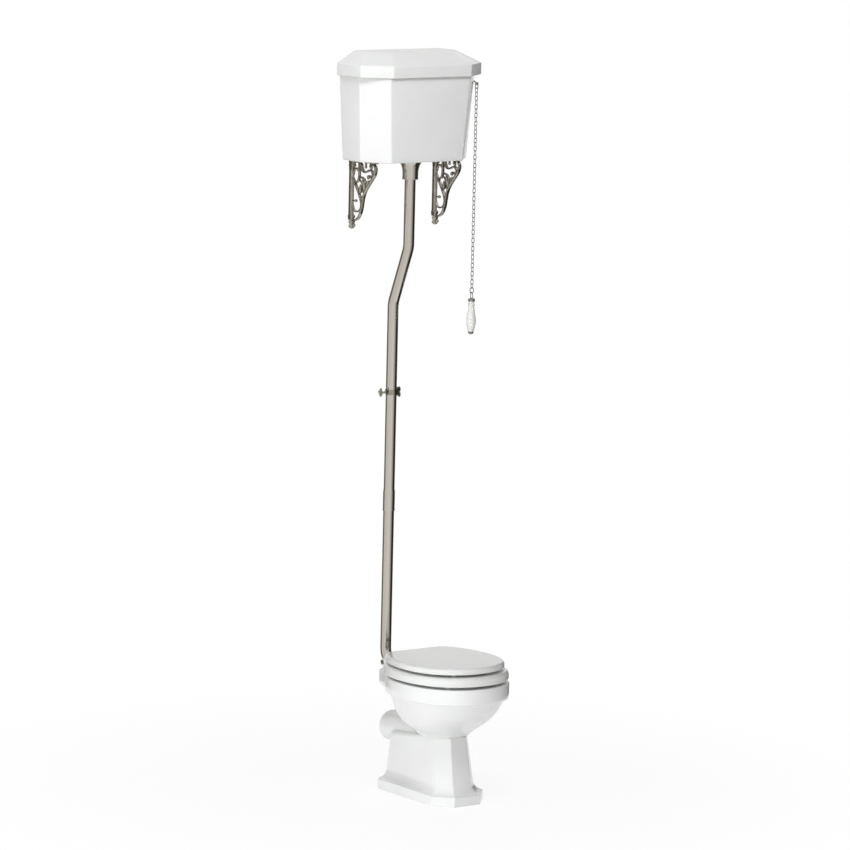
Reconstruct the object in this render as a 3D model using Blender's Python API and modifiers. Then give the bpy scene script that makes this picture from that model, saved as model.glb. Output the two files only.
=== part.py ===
# High level toilet: a pan on the floor, a cistern high on the wall and the flush pipe between them.
# X runs to the right, Y to the wall and Z up. The origin is on the floor, under the pan's rear foot.
# Depths are measured out from the wall, so that a depth d lies at Y = wall_y - d.
import math

import bmesh
import bpy
from mathutils import Matrix, Vector

mm = 0.001

# Clearances and cutter overrun
seat_gap = 0.3 * mm
slide_gap = 1.5 * mm
overrun = 3 * mm
merge = 0.01 * mm

# Pan: the foot, the stem above it and the waist under the bowl
foot_to_wall = 133 * mm
foot_wall = 14 * mm
foot_length = 392 * mm
foot_front = foot_to_wall + foot_length
foot_half_width = 109 * mm
foot_height = 35 * mm
foot_corner_x = 56 * mm
foot_corner_y = 61 * mm
foot_back_corner = 16 * mm
stem_side_set = 31 * mm
stem_front_set = 30 * mm
stem_back_set = 8 * mm
stem_half_width = foot_half_width - stem_side_set
stem_front = foot_front - stem_front_set
stem_back = foot_to_wall + stem_back_set
waist_side_set = 12 * mm
waist_front_set = 28 * mm
waist_back_set = 11 * mm
waist_half_width = stem_half_width - waist_side_set
waist_front = stem_front - waist_front_set
waist_back = stem_back + waist_back_set
waist_height = 208 * mm
cove_height = 21 * mm
neck_back = 292 * mm
neck_rise = 32 * mm
neck_height = waist_height + neck_rise

# Bowl, rim and rear shelf
rim_height = 420 * mm
rim_band = 53 * mm
rim_half_width = 195 * mm
rim_centre = 390 * mm
rim_reach_front = 228 * mm
rim_reach_back = 221 * mm
rim_front = rim_centre + rim_reach_front
rim_back = rim_centre - rim_reach_back
rim_round = 6 * mm
rim_width = 56 * mm
rim_top_wall = 12 * mm
rim_lip_wall = 8 * mm
rim_lip_drop = 30 * mm
bowl_wall = 13 * mm
bowl_floor_drop = 3 * mm
bowl_floor = waist_height - bowl_floor_drop
shelf_back_set = 1 * mm
shelf_back = foot_to_wall + shelf_back_set
shelf_half_width = 106 * mm
shelf_drop = 1.5 * mm
shelf_overlap = 81 * mm
shelf_reach = rim_back + shelf_overlap
shelf_corner = 14 * mm
plan_power = 2.2
plan_points = 22

# Water way through the pan
pipe_radius = 19 * mm
trap_bore = 38 * mm
trap_wall = 8 * mm
throat_set = 38 * mm
throat_depth = rim_centre - throat_set
trap_bend = 49 * mm
trap_bend_drop = 85 * mm
trap_bend_height = bowl_floor - trap_bend_drop
outlet_bend = 48 * mm
outlet_drop = 5 * mm
outlet_height = bowl_floor - outlet_drop
outlet_spread = 6 * mm
outlet_radius = trap_bore + trap_wall + outlet_spread
outlet_length = 69 * mm
outlet_end = foot_to_wall - outlet_length
trap_sides = 10
cone_wall = 5.5 * mm
horn_wall = 6.5 * mm
horn_drop = 18 * mm
horn_height = rim_height - horn_drop
horn_bore = pipe_radius + cone_wall
horn_radius = horn_bore + horn_wall
horn_reach = 77 * mm
horn_bore_depth = 34 * mm
horn_depth = 54 * mm
horn_end = rim_back - horn_reach
horn_foot = horn_end + horn_depth
horn_stop = horn_end + horn_bore_depth
jet_radius = 13 * mm
jet_drop = 8 * mm
jet_height = horn_height - jet_drop

# Floor screws
floor_screw_inset = 17 * mm
floor_screw_x = foot_half_width - floor_screw_inset
floor_screw_rear = 82 * mm
floor_screw_pitch = 147 * mm
floor_screw_depths = (foot_to_wall + floor_screw_rear, foot_to_wall + floor_screw_rear + floor_screw_pitch)
floor_screw_radius = 3.2 * mm
floor_screw_head = 7 * mm
floor_screw_head_height = 4 * mm

# Seat and its hinge
seat_overhang = 1 * mm
seat_front_set = 8 * mm
seat_half_width = rim_half_width + seat_overhang
seat_front = rim_front - seat_front_set
seat_back_set = 19 * mm
seat_tail_set = 21 * mm
seat_back = rim_back + seat_back_set
seat_tail = rim_back - seat_tail_set
seat_raise = 8 * mm
seat_thickness = 31 * mm
seat_side_width = 80 * mm
seat_front_width = 78 * mm
seat_back_width = 74 * mm
seat_hole_half_width = seat_half_width - seat_side_width
seat_hole_front = seat_front - seat_front_width
seat_hole_back = seat_back + seat_back_width
seat_round = 12 * mm
lid_side_set = 11 * mm
lid_front_set = 22 * mm
lid_half_width = seat_half_width - lid_side_set
lid_front = seat_front - lid_front_set
lid_raise = 8 * mm
lid_thickness = 21 * mm
lid_round = 9 * mm
hinge_rise = 24 * mm
hinge_setback = 33 * mm
hinge_depth = seat_back - hinge_setback
hinge_height = rim_height + hinge_rise
hinge_bar_radius = 7 * mm
lug_wall = 5 * mm
lug_radius = hinge_bar_radius + lug_wall
lug_width = 11 * mm
post_x = 70 * mm
post_width = 12 * mm
post_radius = 8 * mm
post_flange_radius = 17 * mm
post_flange_height = 3.5 * mm
lid_lug_pitch = 14 * mm
ring_lug_pitch = 14 * mm
lid_lug_x = post_x + lid_lug_pitch
ring_lug_x = lid_lug_x + ring_lug_pitch
hinge_bar_end = 9 * mm
hinge_bar_half = ring_lug_x + hinge_bar_end
hinge_cap_radius = 10 * mm
hinge_cap_length = 5 * mm
seat_bolt_radius = 4 * mm
seat_bolt_play = 3 * mm
seat_bolt_hole = seat_bolt_radius + seat_bolt_play
seat_bolt_reach = 26 * mm
wing_nut_radius = 9 * mm
wing_nut_height = 9 * mm
wing_half_span = 21 * mm
wing_thickness = 3 * mm
buffer_radius = 9 * mm
buffer_inset = 24 * mm

# Cistern, set out from its underside; its top is where the cover rests
tank_bottom = 2167 * mm
tank_height = 288.7 * mm
tank_top = tank_bottom + tank_height
tank_back = 12 * mm
tank_top_half_width = 238 * mm
tank_top_front = 217 * mm
tank_side_taper = 18.5 * mm
tank_front_taper = 12 * mm
tank_bottom_half_width = tank_top_half_width - tank_side_taper
tank_bottom_front = tank_top_front - tank_front_taper
tank_corner_x = 73 * mm
tank_corner_y = 81 * mm
tank_wall = 12 * mm
tank_floor = 14 * mm
lid_top_skirt = 42 * mm
cover_side_overhang = 12 * mm
cover_front_overhang = 11 * mm
cover_half_width = tank_top_half_width + cover_side_overhang
cover_front = tank_top_front + cover_front_overhang
cover_corner_x = 90 * mm
cover_corner_y = 68 * mm
cover_crown = 40 * mm
cover_crown_inset_x = 70 * mm
cover_crown_inset_y = 77 * mm
cover_lip = 8 * mm
cover_lip_wall = 6 * mm
cover_top_wall = 11 * mm

# Siphon
siphon_wall = 3 * mm
chamber_x = -62 * mm
chamber_radius = 42 * mm
chamber_rise = 23 * mm
chamber_bottom = tank_bottom + chamber_rise
chamber_headroom = 110.7 * mm
chamber_top = tank_top - chamber_headroom
crown_height = 34 * mm
down_leg_radius = 21 * mm
tail_length = 26 * mm
back_nut_wall = 9 * mm
back_nut_radius = down_leg_radius + back_nut_wall
back_nut_height = 9 * mm
pipe_nut_wall = 3.6 * mm
pipe_nut_radius = down_leg_radius + pipe_nut_wall
pipe_nut_height = 20 * mm
rod_radius = 3 * mm
lift_plate_thickness = 4 * mm
lift_eye_width = 16 * mm
lift_eye_height = 18 * mm
lift_eye_thickness = 2.4 * mm

# Flush pipe, hung from the siphon's tail and led back to the wall
pipe_wall = 1.4 * mm
pipe_sides = 12
joint_gap = 0.8 * mm
upper_depth = 107 * mm
lower_depth = pipe_radius + joint_gap + pipe_wall + seat_gap
pipe_top_drop = 28 * mm
pipe_top = tank_bottom - pipe_top_drop
offset_drop = 300 * mm
offset_fall = 200 * mm
offset_top = tank_bottom - offset_drop
offset_bottom = offset_top - offset_fall
offset_bend = 70 * mm
joint_rise = 525 * mm
joint_length = 69 * mm
joint_bottom = rim_height + joint_rise
joint_top = joint_bottom + joint_length
elbow_bend = 65 * mm
elbow_length = 95.5 * mm
elbow_end = lower_depth + elbow_length
cone_flange_lap = 4.5 * mm
cone_flange_radius = horn_bore + cone_flange_lap
cone_flange = 5 * mm
cone_nose = 22 * mm
shroud_clearance = 2.9 * mm
shroud_waist_radius = pipe_nut_radius + shroud_clearance
shroud_flare = 14.5 * mm
shroud_top_radius = shroud_waist_radius + shroud_flare
shroud_flare_height = 34 * mm
shroud_lip = 1.5 * mm
shroud_lip_radius = shroud_waist_radius + shroud_lip
shroud_lip_height = 21 * mm
shroud_height = 65.7 * mm
shroud_wall = 1.6 * mm

# Pipe clip
clip_drop = 308 * mm
clip_height = offset_bottom - clip_drop
clip_length = 18 * mm
clip_wall = 1.5 * mm
clip_boss_radius = 6 * mm
clip_stem_radius = 3 * mm
clip_stem_length = 23 * mm
clip_knob_reach = pipe_radius + clip_stem_length
clip_knob_radius = 15.5 * mm
clip_rose_radius = 23 * mm
clip_petal_thickness = 5 * mm

# Brackets
bracket_x = 173.5 * mm
bracket_height = 238 * mm
bracket_reach = 150 * mm
bracket_bar = 13 * mm
bracket_rod = 6.4 * mm
bracket_column = 20 * mm
bracket_shelf = 4 * mm
bracket_shelf_width = 24 * mm
bracket_shelf_point = 19 * mm
bracket_shelf_reach = bracket_reach + bracket_shelf_point
bracket_ball = 5.4 * mm
bracket_base = 17 * mm
bracket_screw_radius = 2.6 * mm
bracket_screw_head = 5 * mm

# Flush lever and pull chain
lever_below_rim = 19.7 * mm
lever_height = tank_top - lever_below_rim
lever_pivot_set = 33 * mm
lever_pivot_x = tank_top_half_width - lever_pivot_set
lever_width = 7 * mm
lever_thickness = 5 * mm
lever_tip = 12 * mm
lever_drop = 16 * mm
lever_eye_radius = 5.5 * mm
lever_eye_hole = 2.6 * mm
lever_pin_radius = 2.4 * mm
fulcrum_cheek = 3 * mm
fulcrum_height = 30 * mm
fulcrum_plate = 4 * mm
chain_clearance = 19.5 * mm
chain_x = cover_half_width + chain_clearance
chain_wire = 1.2 * mm
chain_pitch = 14.4 * mm
chain_link_half_width = 6.3 * mm
hook_radius = 8 * mm
chain_length = 706 * mm
chain_bottom = lever_height - lever_drop - chain_length
ring_half_width = 7.4 * mm
ring_half_length = 10 * mm
ring_hang = 35 * mm
handle_top = chain_bottom - ring_hang
handle_length = 126 * mm
handle_bottom = handle_top - handle_length
handle_radius = 17 * mm
handle_cap_radius = 12 * mm
handle_cap_height = 10 * mm
finial_height = 11 * mm
finial_radius = 5.5 * mm
handle_eye_radius = 6 * mm

# Float valve
valve_depth = 62 * mm
valve_below_rim = 63.7 * mm
valve_height = tank_top - valve_below_rim
inlet_radius = 8 * mm
inlet_bore = 4.5 * mm
inlet_reach = 26 * mm
inlet_nut_radius = 14 * mm
inlet_nut_height = 6 * mm
valve_body_radius = 13 * mm
valve_body_length = 44 * mm
float_pivot_drop = 17 * mm
float_pin_radius = 2 * mm
float_rod_radius = 2.6 * mm
float_arm_length = 118 * mm
float_arm_droop = math.radians(42)
float_radius = 32 * mm

wall_y = foot_to_wall + foot_wall / 2
rim_bottom = rim_height - rim_band
waste_sides = 12


def out(depth):
    """Y of a depth measured out from the wall."""
    return wall_y - depth


def clear_of(radius, sides, gap=seat_gap):
    """Corner radius of a faceted bore whose flats clear a round of the given radius."""
    return (radius + gap) / math.cos(math.pi / sides)


for old in list(bpy.data.objects):
    bpy.data.objects.remove(old, do_unlink=True)

parts = bpy.data.collections.new("high_level_toilet")
cutters = bpy.data.collections.new("cutters")
bpy.context.scene.collection.children.link(parts)
bpy.context.scene.collection.children.link(cutters)
stand = bpy.data.objects.new("toilet_origin", None)
parts.objects.link(stand)


def material(name, colour, roughness, metallic=0.0):
    made = bpy.data.materials.new(name)
    made.use_nodes = True
    shader = made.node_tree.nodes["Principled BSDF"]
    shader.inputs["Base Color"].default_value = (*colour, 1)
    shader.inputs["Roughness"].default_value = roughness
    shader.inputs["Metallic"].default_value = metallic
    return made


def ceramic():
    return material("white_glaze", (0.86, 0.87, 0.86), 0.08)


def nickel():
    return material("polished_nickel", (0.62, 0.59, 0.55), 0.18, 1.0)


def brass():
    return material("cast_brass", (0.72, 0.55, 0.28), 0.35, 1.0)


def paint():
    return material("white_lacquer", (0.88, 0.88, 0.87), 0.12)


def rubber():
    return material("black_rubber", (0.03, 0.03, 0.03), 0.7)


def clear_rubber():
    return material("pale_buffer", (0.75, 0.75, 0.72), 0.5)


def plastic():
    return material("valve_plastic", (0.82, 0.82, 0.78), 0.4)


def place(name, mesh, finish, origin=(0, 0, 0), group=None):
    """Put a world-space mesh in an object whose origin is at the given point."""
    mesh.transform(Matrix.Translation(-Vector(origin)))
    piece = bpy.data.objects.new(name, mesh)
    piece.location = origin
    if finish:
        mesh.materials.append(finish)
    (group or parts).objects.link(piece)
    if group is None:
        piece.parent = stand
    mesh.shade_smooth()
    mesh.set_sharp_from_angle(angle=math.radians(35))
    return piece


def skin(name, rings):
    """Mesh through closed rings of equal count, capped at both ends."""
    build = bmesh.new()
    loops = [[build.verts.new(point) for point in ring] for ring in rings]
    count = len(loops[0])
    for low, high in zip(loops, loops[1:]):
        for i in range(count):
            j = (i + 1) % count
            build.faces.new((low[i], low[j], high[j], high[i]))
    build.faces.new(list(reversed(loops[0])))
    build.faces.new(loops[-1])
    bmesh.ops.recalc_face_normals(build, faces=build.faces)
    mesh = bpy.data.meshes.new(name)
    build.to_mesh(mesh)
    build.free()
    return mesh


def oval(half_width, front, back, z, centre=rim_centre, power=plan_power, count=plan_points):
    """Plan outline of the bowl, rim and seat: two half superellipses joined at the centre depth."""
    ring = []
    for i in range(count):
        angle = 2 * math.pi * (i + 0.5) / count
        across = math.cos(angle)
        along = math.sin(angle)
        reach = front - centre if along > 0 else centre - back
        x = half_width * math.copysign(abs(across) ** (2 / power), across)
        depth = centre + reach * math.copysign(abs(along) ** (2 / power), along)
        ring.append((x, out(depth), z))
    return ring


def octagon(half_width, front, back, corner_x, corner_y, back_corner, z):
    """Plan outline with cut corners at the front and small ones at the back."""
    return [
        (-half_width, out(back + back_corner), z),
        (-half_width, out(front - corner_y), z),
        (corner_x - half_width, out(front), z),
        (half_width - corner_x, out(front), z),
        (half_width, out(front - corner_y), z),
        (half_width, out(back + back_corner), z),
        (half_width - back_corner, out(back), z),
        (back_corner - half_width, out(back), z),
    ]


def turned(name, profile, steps, closed=False):
    """Solid of revolution round Z from (radius, height) points that run down its outer side."""
    build = bmesh.new()
    points = [build.verts.new((radius, 0, height)) for radius, height in profile]
    for a, b in zip(points, points[1:]):
        build.edges.new((a, b))
    if closed:
        build.edges.new((points[-1], points[0]))
    mesh = bpy.data.meshes.new(name)
    build.to_mesh(mesh)
    build.free()
    holder = bpy.data.objects.new(name + "_profile", mesh)
    cutters.objects.link(holder)
    spin = holder.modifiers.new("spin", "SCREW")
    spin.steps = steps
    spin.render_steps = steps
    spin.use_merge_vertices = True
    spin.merge_threshold = merge
    return bake(holder)


def bake(holder, weld=True):
    """Evaluated mesh of a helper object, which is then removed."""
    bpy.context.view_layer.update()
    seen = holder.evaluated_get(bpy.context.evaluated_depsgraph_get())
    mesh = bpy.data.meshes.new_from_object(seen)
    mesh.transform(holder.matrix_world)
    if weld:
        build = bmesh.new()
        build.from_mesh(mesh)
        bmesh.ops.remove_doubles(build, verts=build.verts, dist=merge)
        build.to_mesh(mesh)
        build.free()
    bpy.data.objects.remove(holder, do_unlink=True)
    return mesh


def turn_to(mesh, direction, point):
    """Turn a mesh made round Z so that its +Z points along direction, and move it to point."""
    spin = Vector(direction).to_track_quat("Z", "Y").to_matrix().to_4x4()
    mesh.transform(Matrix.Translation(Vector(point)) @ spin)
    return mesh


def rod(name, start, end, radius, sides):
    """Plain cylinder between two points."""
    start, end = Vector(start), Vector(end)
    build = bmesh.new()
    bmesh.ops.create_cone(build, cap_ends=True, segments=sides, radius1=radius, radius2=radius,
                          depth=(end - start).length)
    mesh = bpy.data.meshes.new(name)
    build.to_mesh(mesh)
    build.free()
    return turn_to(mesh, end - start, (start + end) / 2)


def block(name, low, high):
    """Box between two corners."""
    build = bmesh.new()
    bmesh.ops.create_cube(build, size=1)
    low, high = Vector(low), Vector(high)
    for vert in build.verts:
        vert.co = [low[i] + (vert.co[i] + 0.5) * (high[i] - low[i]) for i in range(3)]
    mesh = bpy.data.meshes.new(name)
    build.to_mesh(mesh)
    build.free()
    return mesh


def ball(name, centre, radius, segments=12, rings=8):
    build = bmesh.new()
    bmesh.ops.create_uvsphere(build, u_segments=segments, v_segments=rings, radius=radius)
    mesh = bpy.data.meshes.new(name)
    build.to_mesh(mesh)
    build.free()
    mesh.transform(Matrix.Translation(Vector(centre)))
    return mesh


def tube(name, points, radius, sides, cyclic=False, radii=None, hollow=0.0):
    """Round bar, or with a wall a hollow pipe, along points. Sides is even."""
    curve = bpy.data.curves.new(name, "CURVE")
    curve.dimensions = "3D"
    curve.bevel_depth = radius
    curve.bevel_resolution = (sides - 4) // 2
    curve.use_fill_caps = not hollow and not cyclic
    spline = curve.splines.new("POLY")
    spline.points.add(len(points) - 1)
    for i, point in enumerate(points):
        spline.points[i].co = (*point, 1)
        spline.points[i].radius = radii[i] if radii else 1
    spline.use_cyclic_u = cyclic
    holder = bpy.data.objects.new(name + "_path", curve)
    cutters.objects.link(holder)
    mesh = bake(holder)
    if hollow:
        shell = bpy.data.objects.new(name + "_wall", mesh)
        cutters.objects.link(shell)
        wall = shell.modifiers.new("wall", "SOLIDIFY")
        wall.thickness = hollow
        wall.offset = -1
        wall.use_even_offset = True
        mesh = bake(shell)
    build = bmesh.new()
    build.from_mesh(mesh)
    bmesh.ops.recalc_face_normals(build, faces=build.faces)
    build.to_mesh(mesh)
    build.free()
    return mesh


def combine(piece, mesh, operation):
    """Add a Boolean of the mesh to a piece."""
    helper = place(mesh.name + "_tool", mesh, None, group=cutters)
    helper.hide_render = True
    helper.display_type = "WIRE"
    step = piece.modifiers.new(operation.lower(), "BOOLEAN")
    step.operation = operation
    step.solver = "EXACT"
    step.object = helper
    return piece


def cut(piece, mesh):
    return combine(piece, mesh, "DIFFERENCE")


def join(piece, mesh):
    return combine(piece, mesh, "UNION")


def arc(centre, radius, start, end, count):
    """Points on an arc in a plane of two coordinates, angles in degrees."""
    turns = [math.radians(start + (end - start) * i / count) for i in range(count + 1)]
    return [(centre[0] + radius * math.cos(t), centre[1] + radius * math.sin(t)) for t in turns]


def in_section(points, x=0.0):
    """Points of (depth, height) placed in the plane at x."""
    return [(x, out(depth), height) for depth, height in points]


# Pan

# Shares of the rise from the bowl floor to the rim's underside, and of the rim's half width,
# of its reach to the front and of its reach to the back
bowl_shares = (
    (0.0, 0.23, 0.11, 0.48),
    (0.105, 0.37, 0.23, 0.60),
    (0.216, 0.50, 0.35, 0.69),
    (0.333, 0.636, 0.487, 0.775),
    (0.5, 0.76, 0.662, 0.828),
    (0.68, 0.841, 0.80, 0.86),
    (0.895, 0.903, 0.912, 0.88),
    (1.05, 0.94, 0.95, 0.92),
)


def bowl_section(shares, inset=0.0, lift=0.0):
    rise, width, front, back = shares
    z = bowl_floor + rise * (rim_bottom - bowl_floor) + lift
    return (width * rim_half_width - inset,
            rim_centre + front * (rim_front - rim_centre) - inset,
            rim_centre - back * (rim_centre - rim_back) + inset,
            z)


def pan_foot_ring(share, z):
    """Outline between the stem (share 0) and the plinth (share 1)."""
    def mix(a, b):
        return a + (b - a) * share
    return octagon(mix(stem_half_width, foot_half_width), mix(stem_front, foot_front),
                   mix(stem_back, foot_to_wall), mix(foot_corner_x * stem_half_width / foot_half_width,
                                                     foot_corner_x),
                   mix(foot_corner_y * stem_half_width / foot_half_width, foot_corner_y),
                   foot_back_corner, z)


def waist_ring(inset, z, back=waist_back):
    scale = waist_half_width / foot_half_width
    return octagon(waist_half_width - inset, waist_front - inset, back + inset,
                   foot_corner_x * scale, foot_corner_y * scale, foot_back_corner * scale, z)


def pedestal():
    cove = cove_height
    edge = 2 * mm
    rings = [
        pan_foot_ring(1, 0),
        pan_foot_ring(1, foot_height - edge),
        pan_foot_ring(0.93, foot_height),
        pan_foot_ring(0.62, foot_height + cove * 0.1),
        pan_foot_ring(0.32, foot_height + cove * 0.28),
        pan_foot_ring(0.12, foot_height + cove * 0.6),
        pan_foot_ring(0, foot_height + cove),
        waist_ring(0, waist_height - edge * 3),
        waist_ring(edge * 2, waist_height),
        waist_ring(edge * 2, waist_height + edge, neck_back),
        waist_ring(edge * 2, neck_height, neck_back),
    ]
    return skin("pedestal", rings)


def foot_hollow():
    def inner(source, inset):
        return octagon(source[0] - inset, source[1] - inset, source[2] + inset,
                       source[3], source[4], foot_back_corner, source[5])
    scale = stem_half_width / foot_half_width
    waist_scale = waist_half_width / foot_half_width
    low = (stem_half_width, stem_front, stem_back, foot_corner_x * scale, foot_corner_y * scale)
    high = (waist_half_width, waist_front, waist_back, foot_corner_x * waist_scale,
            foot_corner_y * waist_scale)
    return skin("foot_hollow", [
        inner((*low, -overrun), foot_wall),
        inner((*low, foot_height), foot_wall),
        inner((*high, waist_height - 2 * bowl_wall), bowl_wall),
        inner((*high, waist_height - bowl_wall), 2 * bowl_wall),
    ])


def rim_slab():
    def ring(inset, z):
        return oval(rim_half_width - inset, rim_front - inset, rim_back + inset, z)
    return skin("rim_slab", [
        ring(rim_round / 2, rim_bottom),
        ring(0, rim_bottom + rim_round / 2),
        ring(0, rim_height - rim_round),
        ring(rim_round * 0.3, rim_height - rim_round * 0.3),
        ring(rim_round, rim_height),
    ])


def shelf_slab():
    """Rear shelf of the rim that carries the seat hinge, narrower towards the wall."""
    flare = (rim_half_width - shelf_half_width) / (rim_centre - shelf_back) * (shelf_reach - shelf_back)
    far = shelf_half_width + flare * 1.2

    def ring(inset, z):
        corner = shelf_corner - inset
        back = shelf_back + inset
        side = shelf_half_width - inset
        rounded = [(corner - side - corner * math.cos(math.radians(a)),
                    back + corner - corner * math.sin(math.radians(a))) for a in (0, 30, 60, 90)]
        half = [(inset - far, shelf_reach)] + rounded
        mirrored = [(-x, depth) for x, depth in reversed(half)]
        return [(x, out(depth), z) for x, depth in half + mirrored]
    top = rim_height - shelf_drop
    return skin("shelf_slab", [
        ring(rim_round / 2, rim_bottom + shelf_drop),
        ring(0, rim_bottom + rim_round),
        ring(0, top - rim_round),
        ring(rim_round * 0.3, top - rim_round * 0.3),
        ring(rim_round, top),
    ])


def bowl_outside():
    return skin("bowl_outside", [oval(*bowl_section(shares)) for shares in bowl_shares])


def throat_ring(z, widen=0.0):
    radius = trap_bore + widen
    return oval(radius, throat_depth + radius, throat_depth - radius, z, throat_depth, 2)


def bowl_inside():
    rings = [throat_ring(trap_bend_height + trap_bend), throat_ring(bowl_floor)]
    for shares in bowl_shares[1:-1]:
        rings.append(oval(*bowl_section(shares, bowl_wall)))
    top = rim_height - rim_top_wall
    channel = rim_round + bowl_wall
    rings.append(oval(rim_half_width - channel, rim_front - channel, rim_back + channel, rim_bottom))
    rings.append(oval(rim_half_width - channel, rim_front - channel, rim_back + channel, top))
    return skin("bowl_inside", rings)


def rim_opening(inset=0.0):
    edge = rim_width + inset
    return (rim_half_width - edge, rim_front - edge, rim_back + edge)


def rim_lip():
    """Wall that hangs from the inner edge of the rim and forms the flushing channel."""
    low = rim_height - rim_top_wall - rim_lip_drop
    high = rim_height - rim_top_wall / 2
    outer = skin("rim_lip", [oval(*rim_opening(-rim_lip_wall), low), oval(*rim_opening(-rim_lip_wall), high)])
    return outer


def trap_path():
    down = throat_depth
    up = throat_depth - 2 * trap_bend
    bend = outlet_height - outlet_bend
    points = [(down, bowl_floor - overrun)]
    points += arc((down - trap_bend, trap_bend_height), trap_bend, 0, -180, 7)
    points += arc((up - outlet_bend, bend), outlet_bend, 0, 90, 4)
    return points


def make_pan():
    pan = place("pan", pedestal(), ceramic())
    join(pan, bowl_outside())
    join(pan, rim_slab())
    join(pan, shelf_slab())
    cut(pan, foot_hollow())
    outlet_start = throat_depth - 2 * trap_bend - outlet_bend
    join(pan, tube("trap_outside", in_section(trap_path() + [(outlet_start - overrun, outlet_height)]),
                   trap_bore + trap_wall, trap_sides))
    join(pan, rod("outlet_outside", (0, out(outlet_end), outlet_height),
                  (0, out(outlet_start), outlet_height), outlet_radius, waste_sides))
    join(pan, rod("horn_outside", (0, out(horn_end), horn_height), (0, out(horn_foot), horn_height),
                  horn_radius, waste_sides))
    cut(pan, bowl_inside())
    cut(pan, skin("rim_mouth", [oval(*rim_opening(), rim_bottom), oval(*rim_opening(), rim_height + overrun)]))
    lip = place("rim_lip_ring", rim_lip(), None, group=cutters)
    cut(lip, skin("lip_mouth", [oval(*rim_opening(), rim_bottom - rim_lip_drop),
                                oval(*rim_opening(), rim_height + overrun)]))
    join(pan, bake(lip, weld=False))
    cut(pan, tube("trap_bore", in_section(trap_path() + [(outlet_end - overrun, outlet_height)]),
                  trap_bore, trap_sides))
    cut(pan, rod("horn_bore", (0, out(horn_end - overrun), horn_height), (0, out(horn_stop), horn_height),
                 horn_bore, waste_sides))
    cut(pan, rod("flush_way", (0, out(horn_stop - overrun), jet_height),
                 (0, out(rim_back + rim_round + bowl_wall + overrun), jet_height), jet_radius, waste_sides // 2))
    for side in (-1, 1):
        cut(pan, rod("seat_bolt_hole", (side * post_x, out(hinge_depth), rim_bottom - overrun),
                     (side * post_x, out(hinge_depth), rim_height + overrun), seat_bolt_hole, 8))
        for depth in floor_screw_depths:
            cut(pan, rod("floor_hole", (side * floor_screw_x, out(depth), -overrun),
                         (side * floor_screw_x, out(depth), foot_height + cove_height),
                         floor_screw_radius + seat_gap * 3, 6))
            cut(pan, rod("floor_recess", (side * floor_screw_x, out(depth), foot_height),
                         (side * floor_screw_x, out(depth), foot_height + cove_height),
                         floor_screw_head + seat_gap * 4, 8))
    return pan


def floor_screw(name, x, depth):
    top = foot_height + seat_gap + floor_screw_head_height
    neck = foot_height + seat_gap
    profile = [(0, top), (floor_screw_head * 0.6, top - floor_screw_head_height * 0.1),
               (floor_screw_head, neck + floor_screw_head_height * 0.3), (floor_screw_head, neck),
               (floor_screw_radius, neck), (floor_screw_radius, seat_gap), (0, seat_gap)]
    mesh = turned(name, profile, 7)
    mesh.transform(Matrix.Translation((x, out(depth), 0)))
    return place(name, mesh, nickel(), (x, out(depth), 0))


# Seat

ring_bottom = rim_height + seat_raise
ring_top = ring_bottom + seat_thickness
lid_bottom = ring_top + lid_raise
lid_top = lid_bottom + lid_thickness
hinge_point = (0, out(hinge_depth), hinge_height)


def seat_outline(half_width, front, inset, z):
    """Seat and lid plan: an oval whose rear end is cut straight across."""
    ring = oval(half_width - inset, front - inset, seat_tail + inset, z)
    stop = out(seat_back + inset)
    return [(x, min(y, stop), z) for x, y, z in ring]


def make_seat_ring():
    def ring(inset, z):
        return seat_outline(seat_half_width, seat_front, inset, z)
    body = skin("seat_ring", [
        ring(seat_round * 0.45, ring_bottom),
        ring(0, ring_bottom + seat_round * 0.55),
        ring(0, ring_top - seat_round),
        ring(seat_round * 0.35, ring_top - seat_round * 0.3),
        ring(seat_round, ring_top),
    ])
    seat = place("seat_ring", body, paint(), hinge_point)

    def hole(grow, z):
        return oval(seat_hole_half_width + grow, seat_hole_front + grow, seat_hole_back - grow, z)
    cut(seat, skin("seat_hole", [
        hole(0, ring_bottom - overrun),
        hole(0, ring_top - seat_round),
        hole(seat_round * 0.3, ring_top - seat_round * 0.3),
        hole(seat_round, ring_top),
        hole(seat_round, ring_top + overrun),
    ]))
    for side in (-1, 1):
        x = side * ring_lug_x
        low = (x - lug_width / 2, out(seat_back + seat_round * 2), ring_bottom + seat_round * 0.5)
        high = (x + lug_width / 2, out(hinge_depth), ring_top - seat_round * 0.5)
        join(seat, block("ring_lug_arm", low, high))
        join(seat, rod("ring_lug", (x - lug_width / 2, *hinge_point[1:]), (x + lug_width / 2, *hinge_point[1:]),
                       lug_radius, 12))
    cut(seat, rod("ring_lug_bore", (-hinge_bar_half, *hinge_point[1:]), (hinge_bar_half, *hinge_point[1:]),
                  hinge_bar_radius + seat_gap * 2, 12))
    return seat


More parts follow.
